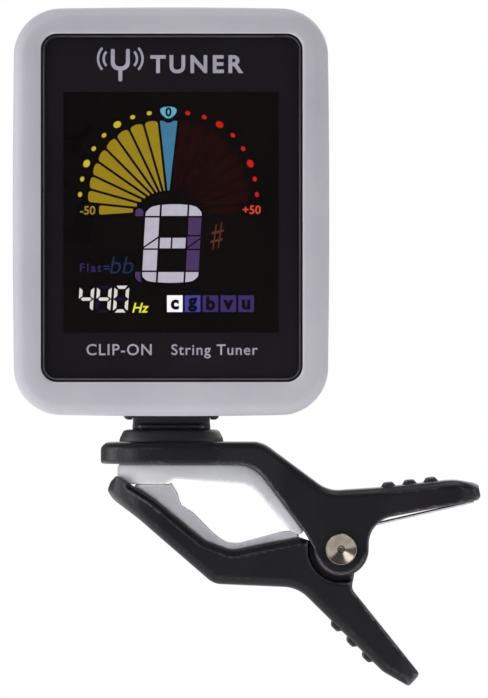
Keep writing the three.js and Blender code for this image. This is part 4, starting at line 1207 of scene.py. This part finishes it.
def clip():
    upper_grip = pad_field(upper_pad_side, upper_seat, 0.8)
    lower_grip = pad_field(lower_pad_side, lower_seat, 1.0)
    for name, field, node, step, material, body, slot in (
        ("upper_arm", upper_lever_field, "upper_lever", 0.25, CLIP_PLASTIC, "clip_body", "black_plastic"),
        ("lower_arm", lower_lever_field, "lower_lever", 0.25, CLIP_PLASTIC, "lower_jaw", "black_plastic"),
        ("upper_grip", upper_grip, "upper_pad", 0.22, PAD_SILICONE, "clip_body", "silicone"),
        ("lower_grip", lower_grip, "lower_pad", 0.22, PAD_SILICONE_PAINTED_SHADE, "lower_jaw", "silicone"),
    ):
        show_moulded(name, field, node, step, material, body, slot, grow=0.3)

    face, pivot = -CHEEK_OUT - 0.22, (PIVOT_X, 0, PIVOT_Z)
    end = box_mm("pivot_rivet")[1][1]
    profile = [
        (0, face + 0.75, 0), (0.40, face + 0.75, 0.05), (0.56, face, 0.06), (2.14, face - 0.70, 0.08),
        (2.22, face - 0.62, 0.04), (2.22, face, 0.05), (1.4, face, 0.05), (1.4, end - 0.65, 0.05),
        (2.0, end - 0.65, 0.1), (1.75, end - 0.1, 0.25), (0.9, end, 0.25), (0.7, end - 0.8, 0.1),
        (0, end - 0.8, 0),
    ]
    show(lathe("rivet", profile, "y", pivot, 96), NICKEL, "clip_body", "nickel", "pivot_rivet")
    low, high = box_mm("rivet_washer")
    washer = [(BORE, low[1], 0.05), (3, low[1], 0.12), (3, high[1], 0.12), (BORE, high[1], 0.05)]
    show(lathe("back_washer", washer, "y", pivot), STEEL, "clip_body", "bright_steel", "rivet_washer")

    spring = tube("spring_wire", spring_path(), WIRE_RADIUS)
    spring.data.materials.append(STEEL)
    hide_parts("torsion_spring")
    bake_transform(spring)


# --------------------------------------------------------- stage, light, view

def area_light(name, place, target, size, power, colour=(1, 1, 1)):
    light = bpy.data.lights.new(name, "AREA")
    light.shape = "RECTANGLE"
    light.size, light.size_y = size
    light.energy = power
    light.color = colour
    obj = put_in_scene(name, light)
    obj.location = place
    obj.rotation_euler = (target - obj.location).to_track_quat("-Z", "Y").to_euler()


def studio():
    """A plain pale floor just under the object, soft lights and an even pale surround."""
    low, high = (Vector(corner) for corner in CAD_BOX)
    middle = (low + high) / 2
    floor_x, floor_z = middle.x / MM, low.z / MM - 12
    radii, count = [60, 140, 220, 290], 64
    points = [(floor_x, 0, floor_z)]
    for radius in radii:
        for s in range(count):
            a = 2 * math.pi * s / count
            points.append((floor_x + radius * math.cos(a), radius * math.sin(a), floor_z))
    faces = [(0, 1 + s, 1 + (s + 1) % count) for s in range(count)]
    for r in range(len(radii) - 1):
        for s in range(count):
            a, b = 1 + r * count + s, 1 + r * count + (s + 1) % count
            faces.append((a, a + count, b + count, b))
    floor = mesh_from("floor", points, faces)
    paper = finish("floor_paper", (0.80, 0.80, 0.80), (0.84, 0.84, 0.84), 0.8, blotch=60, grain=1.0,
                   relief=0.01, Emission_Color=(1, 1, 1, 1), Emission_Strength=0.48)
    floor.data.materials.append(paper)

    area_light("key", (-0.55, -0.75, 0.60), middle, (0.55, 0.55), 3.1)
    area_light("left_strip", (-0.85, -0.25, 0.05), middle, (0.30, 0.80), 2.6, (1.0, 0.98, 1.0))
    area_light("left_rim", (-0.75, 0.30, 0.05), middle, (0.30, 0.80), 2.2, (1.0, 0.99, 0.98))
    area_light("right_fill", (0.80, -0.65, 0.15), middle, (0.50, 0.70), 1.4, (0.95, 0.98, 1.0))
    area_light("right_rim", (0.80, 0.15, 0.05), middle, (0.30, 0.80), 1.3)
    area_light("top", (0.05, -0.05, 0.95), middle, (0.80, 0.50), 3.4)
    area_light("back", (0.20, 0.80, 0.45), middle, (0.80, 0.60), 3.0)

    world = bpy.data.worlds.new("surround")
    bpy.context.scene.world = world
    world.use_nodes = True
    tree = world.node_tree
    tree.nodes.clear()
    seen = add(tree, "ShaderNodeBackground", Color=(1, 1, 1, 1), Strength=1.0)
    lit = add(tree, "ShaderNodeBackground", Color=(0.97, 0.96, 1.0, 1), Strength=0.20)
    ray = add(tree, "ShaderNodeLightPath")
    mixed = add(tree, "ShaderNodeMixShader")
    out = add(tree, "ShaderNodeOutputWorld")
    tree.links.new(ray.outputs["Is Camera Ray"], mixed.inputs[0])
    tree.links.new(lit.outputs[0], mixed.inputs[1])
    tree.links.new(seen.outputs[0], mixed.inputs[2])
    tree.links.new(mixed.outputs[0], out.inputs["Surface"])

    scene = bpy.context.scene
    scene.view_settings.view_transform = "Standard"
    camera = bpy.data.cameras.new("camera")
    camera.sensor_fit = "VERTICAL"
    camera.sensor_height = 36
    distance, seen_height, reference_plane = 3.0, 0.0994, -0.0105
    camera.lens = camera.sensor_height * distance / seen_height
    camera.clip_end = 10
    viewer = put_in_scene("camera", camera)
    off_centre = Vector((-0.00045, 0, -0.00033))
    viewer.location = middle + off_centre
    viewer.location.y = reference_plane - distance
    viewer.rotation_euler = (math.pi / 2, 0, 0)
    scene.camera = viewer


sleeve()
front_plate()
rear_details()
tuning_dial()
note_digit()
pitch_reading()
faint_marks()
legends()
neck()
clip()

dress(PANEL_PRINT, "face_mask")
dress(CASE_PLASTIC, "front_case", "lcd_holder")
dress(GLASS, "lcd_glass")
dress(WHITE, "backlight")
dress(RUBBER, "zebra_strip")
dress(BOARD, "pcb")
dress(RESIN, "mcu_chip")
dress(STEEL, "crystal_can", "tact_switch_1", "tact_switch_2", "tact_switch_3", "swivel_washer",
      "swivel_screw")
dress(CELL, "coin_cell")
dress(NICKEL, "battery_contact_negative", "battery_contact_positive")
dress(BRASS, "piezo_disc")

studio()
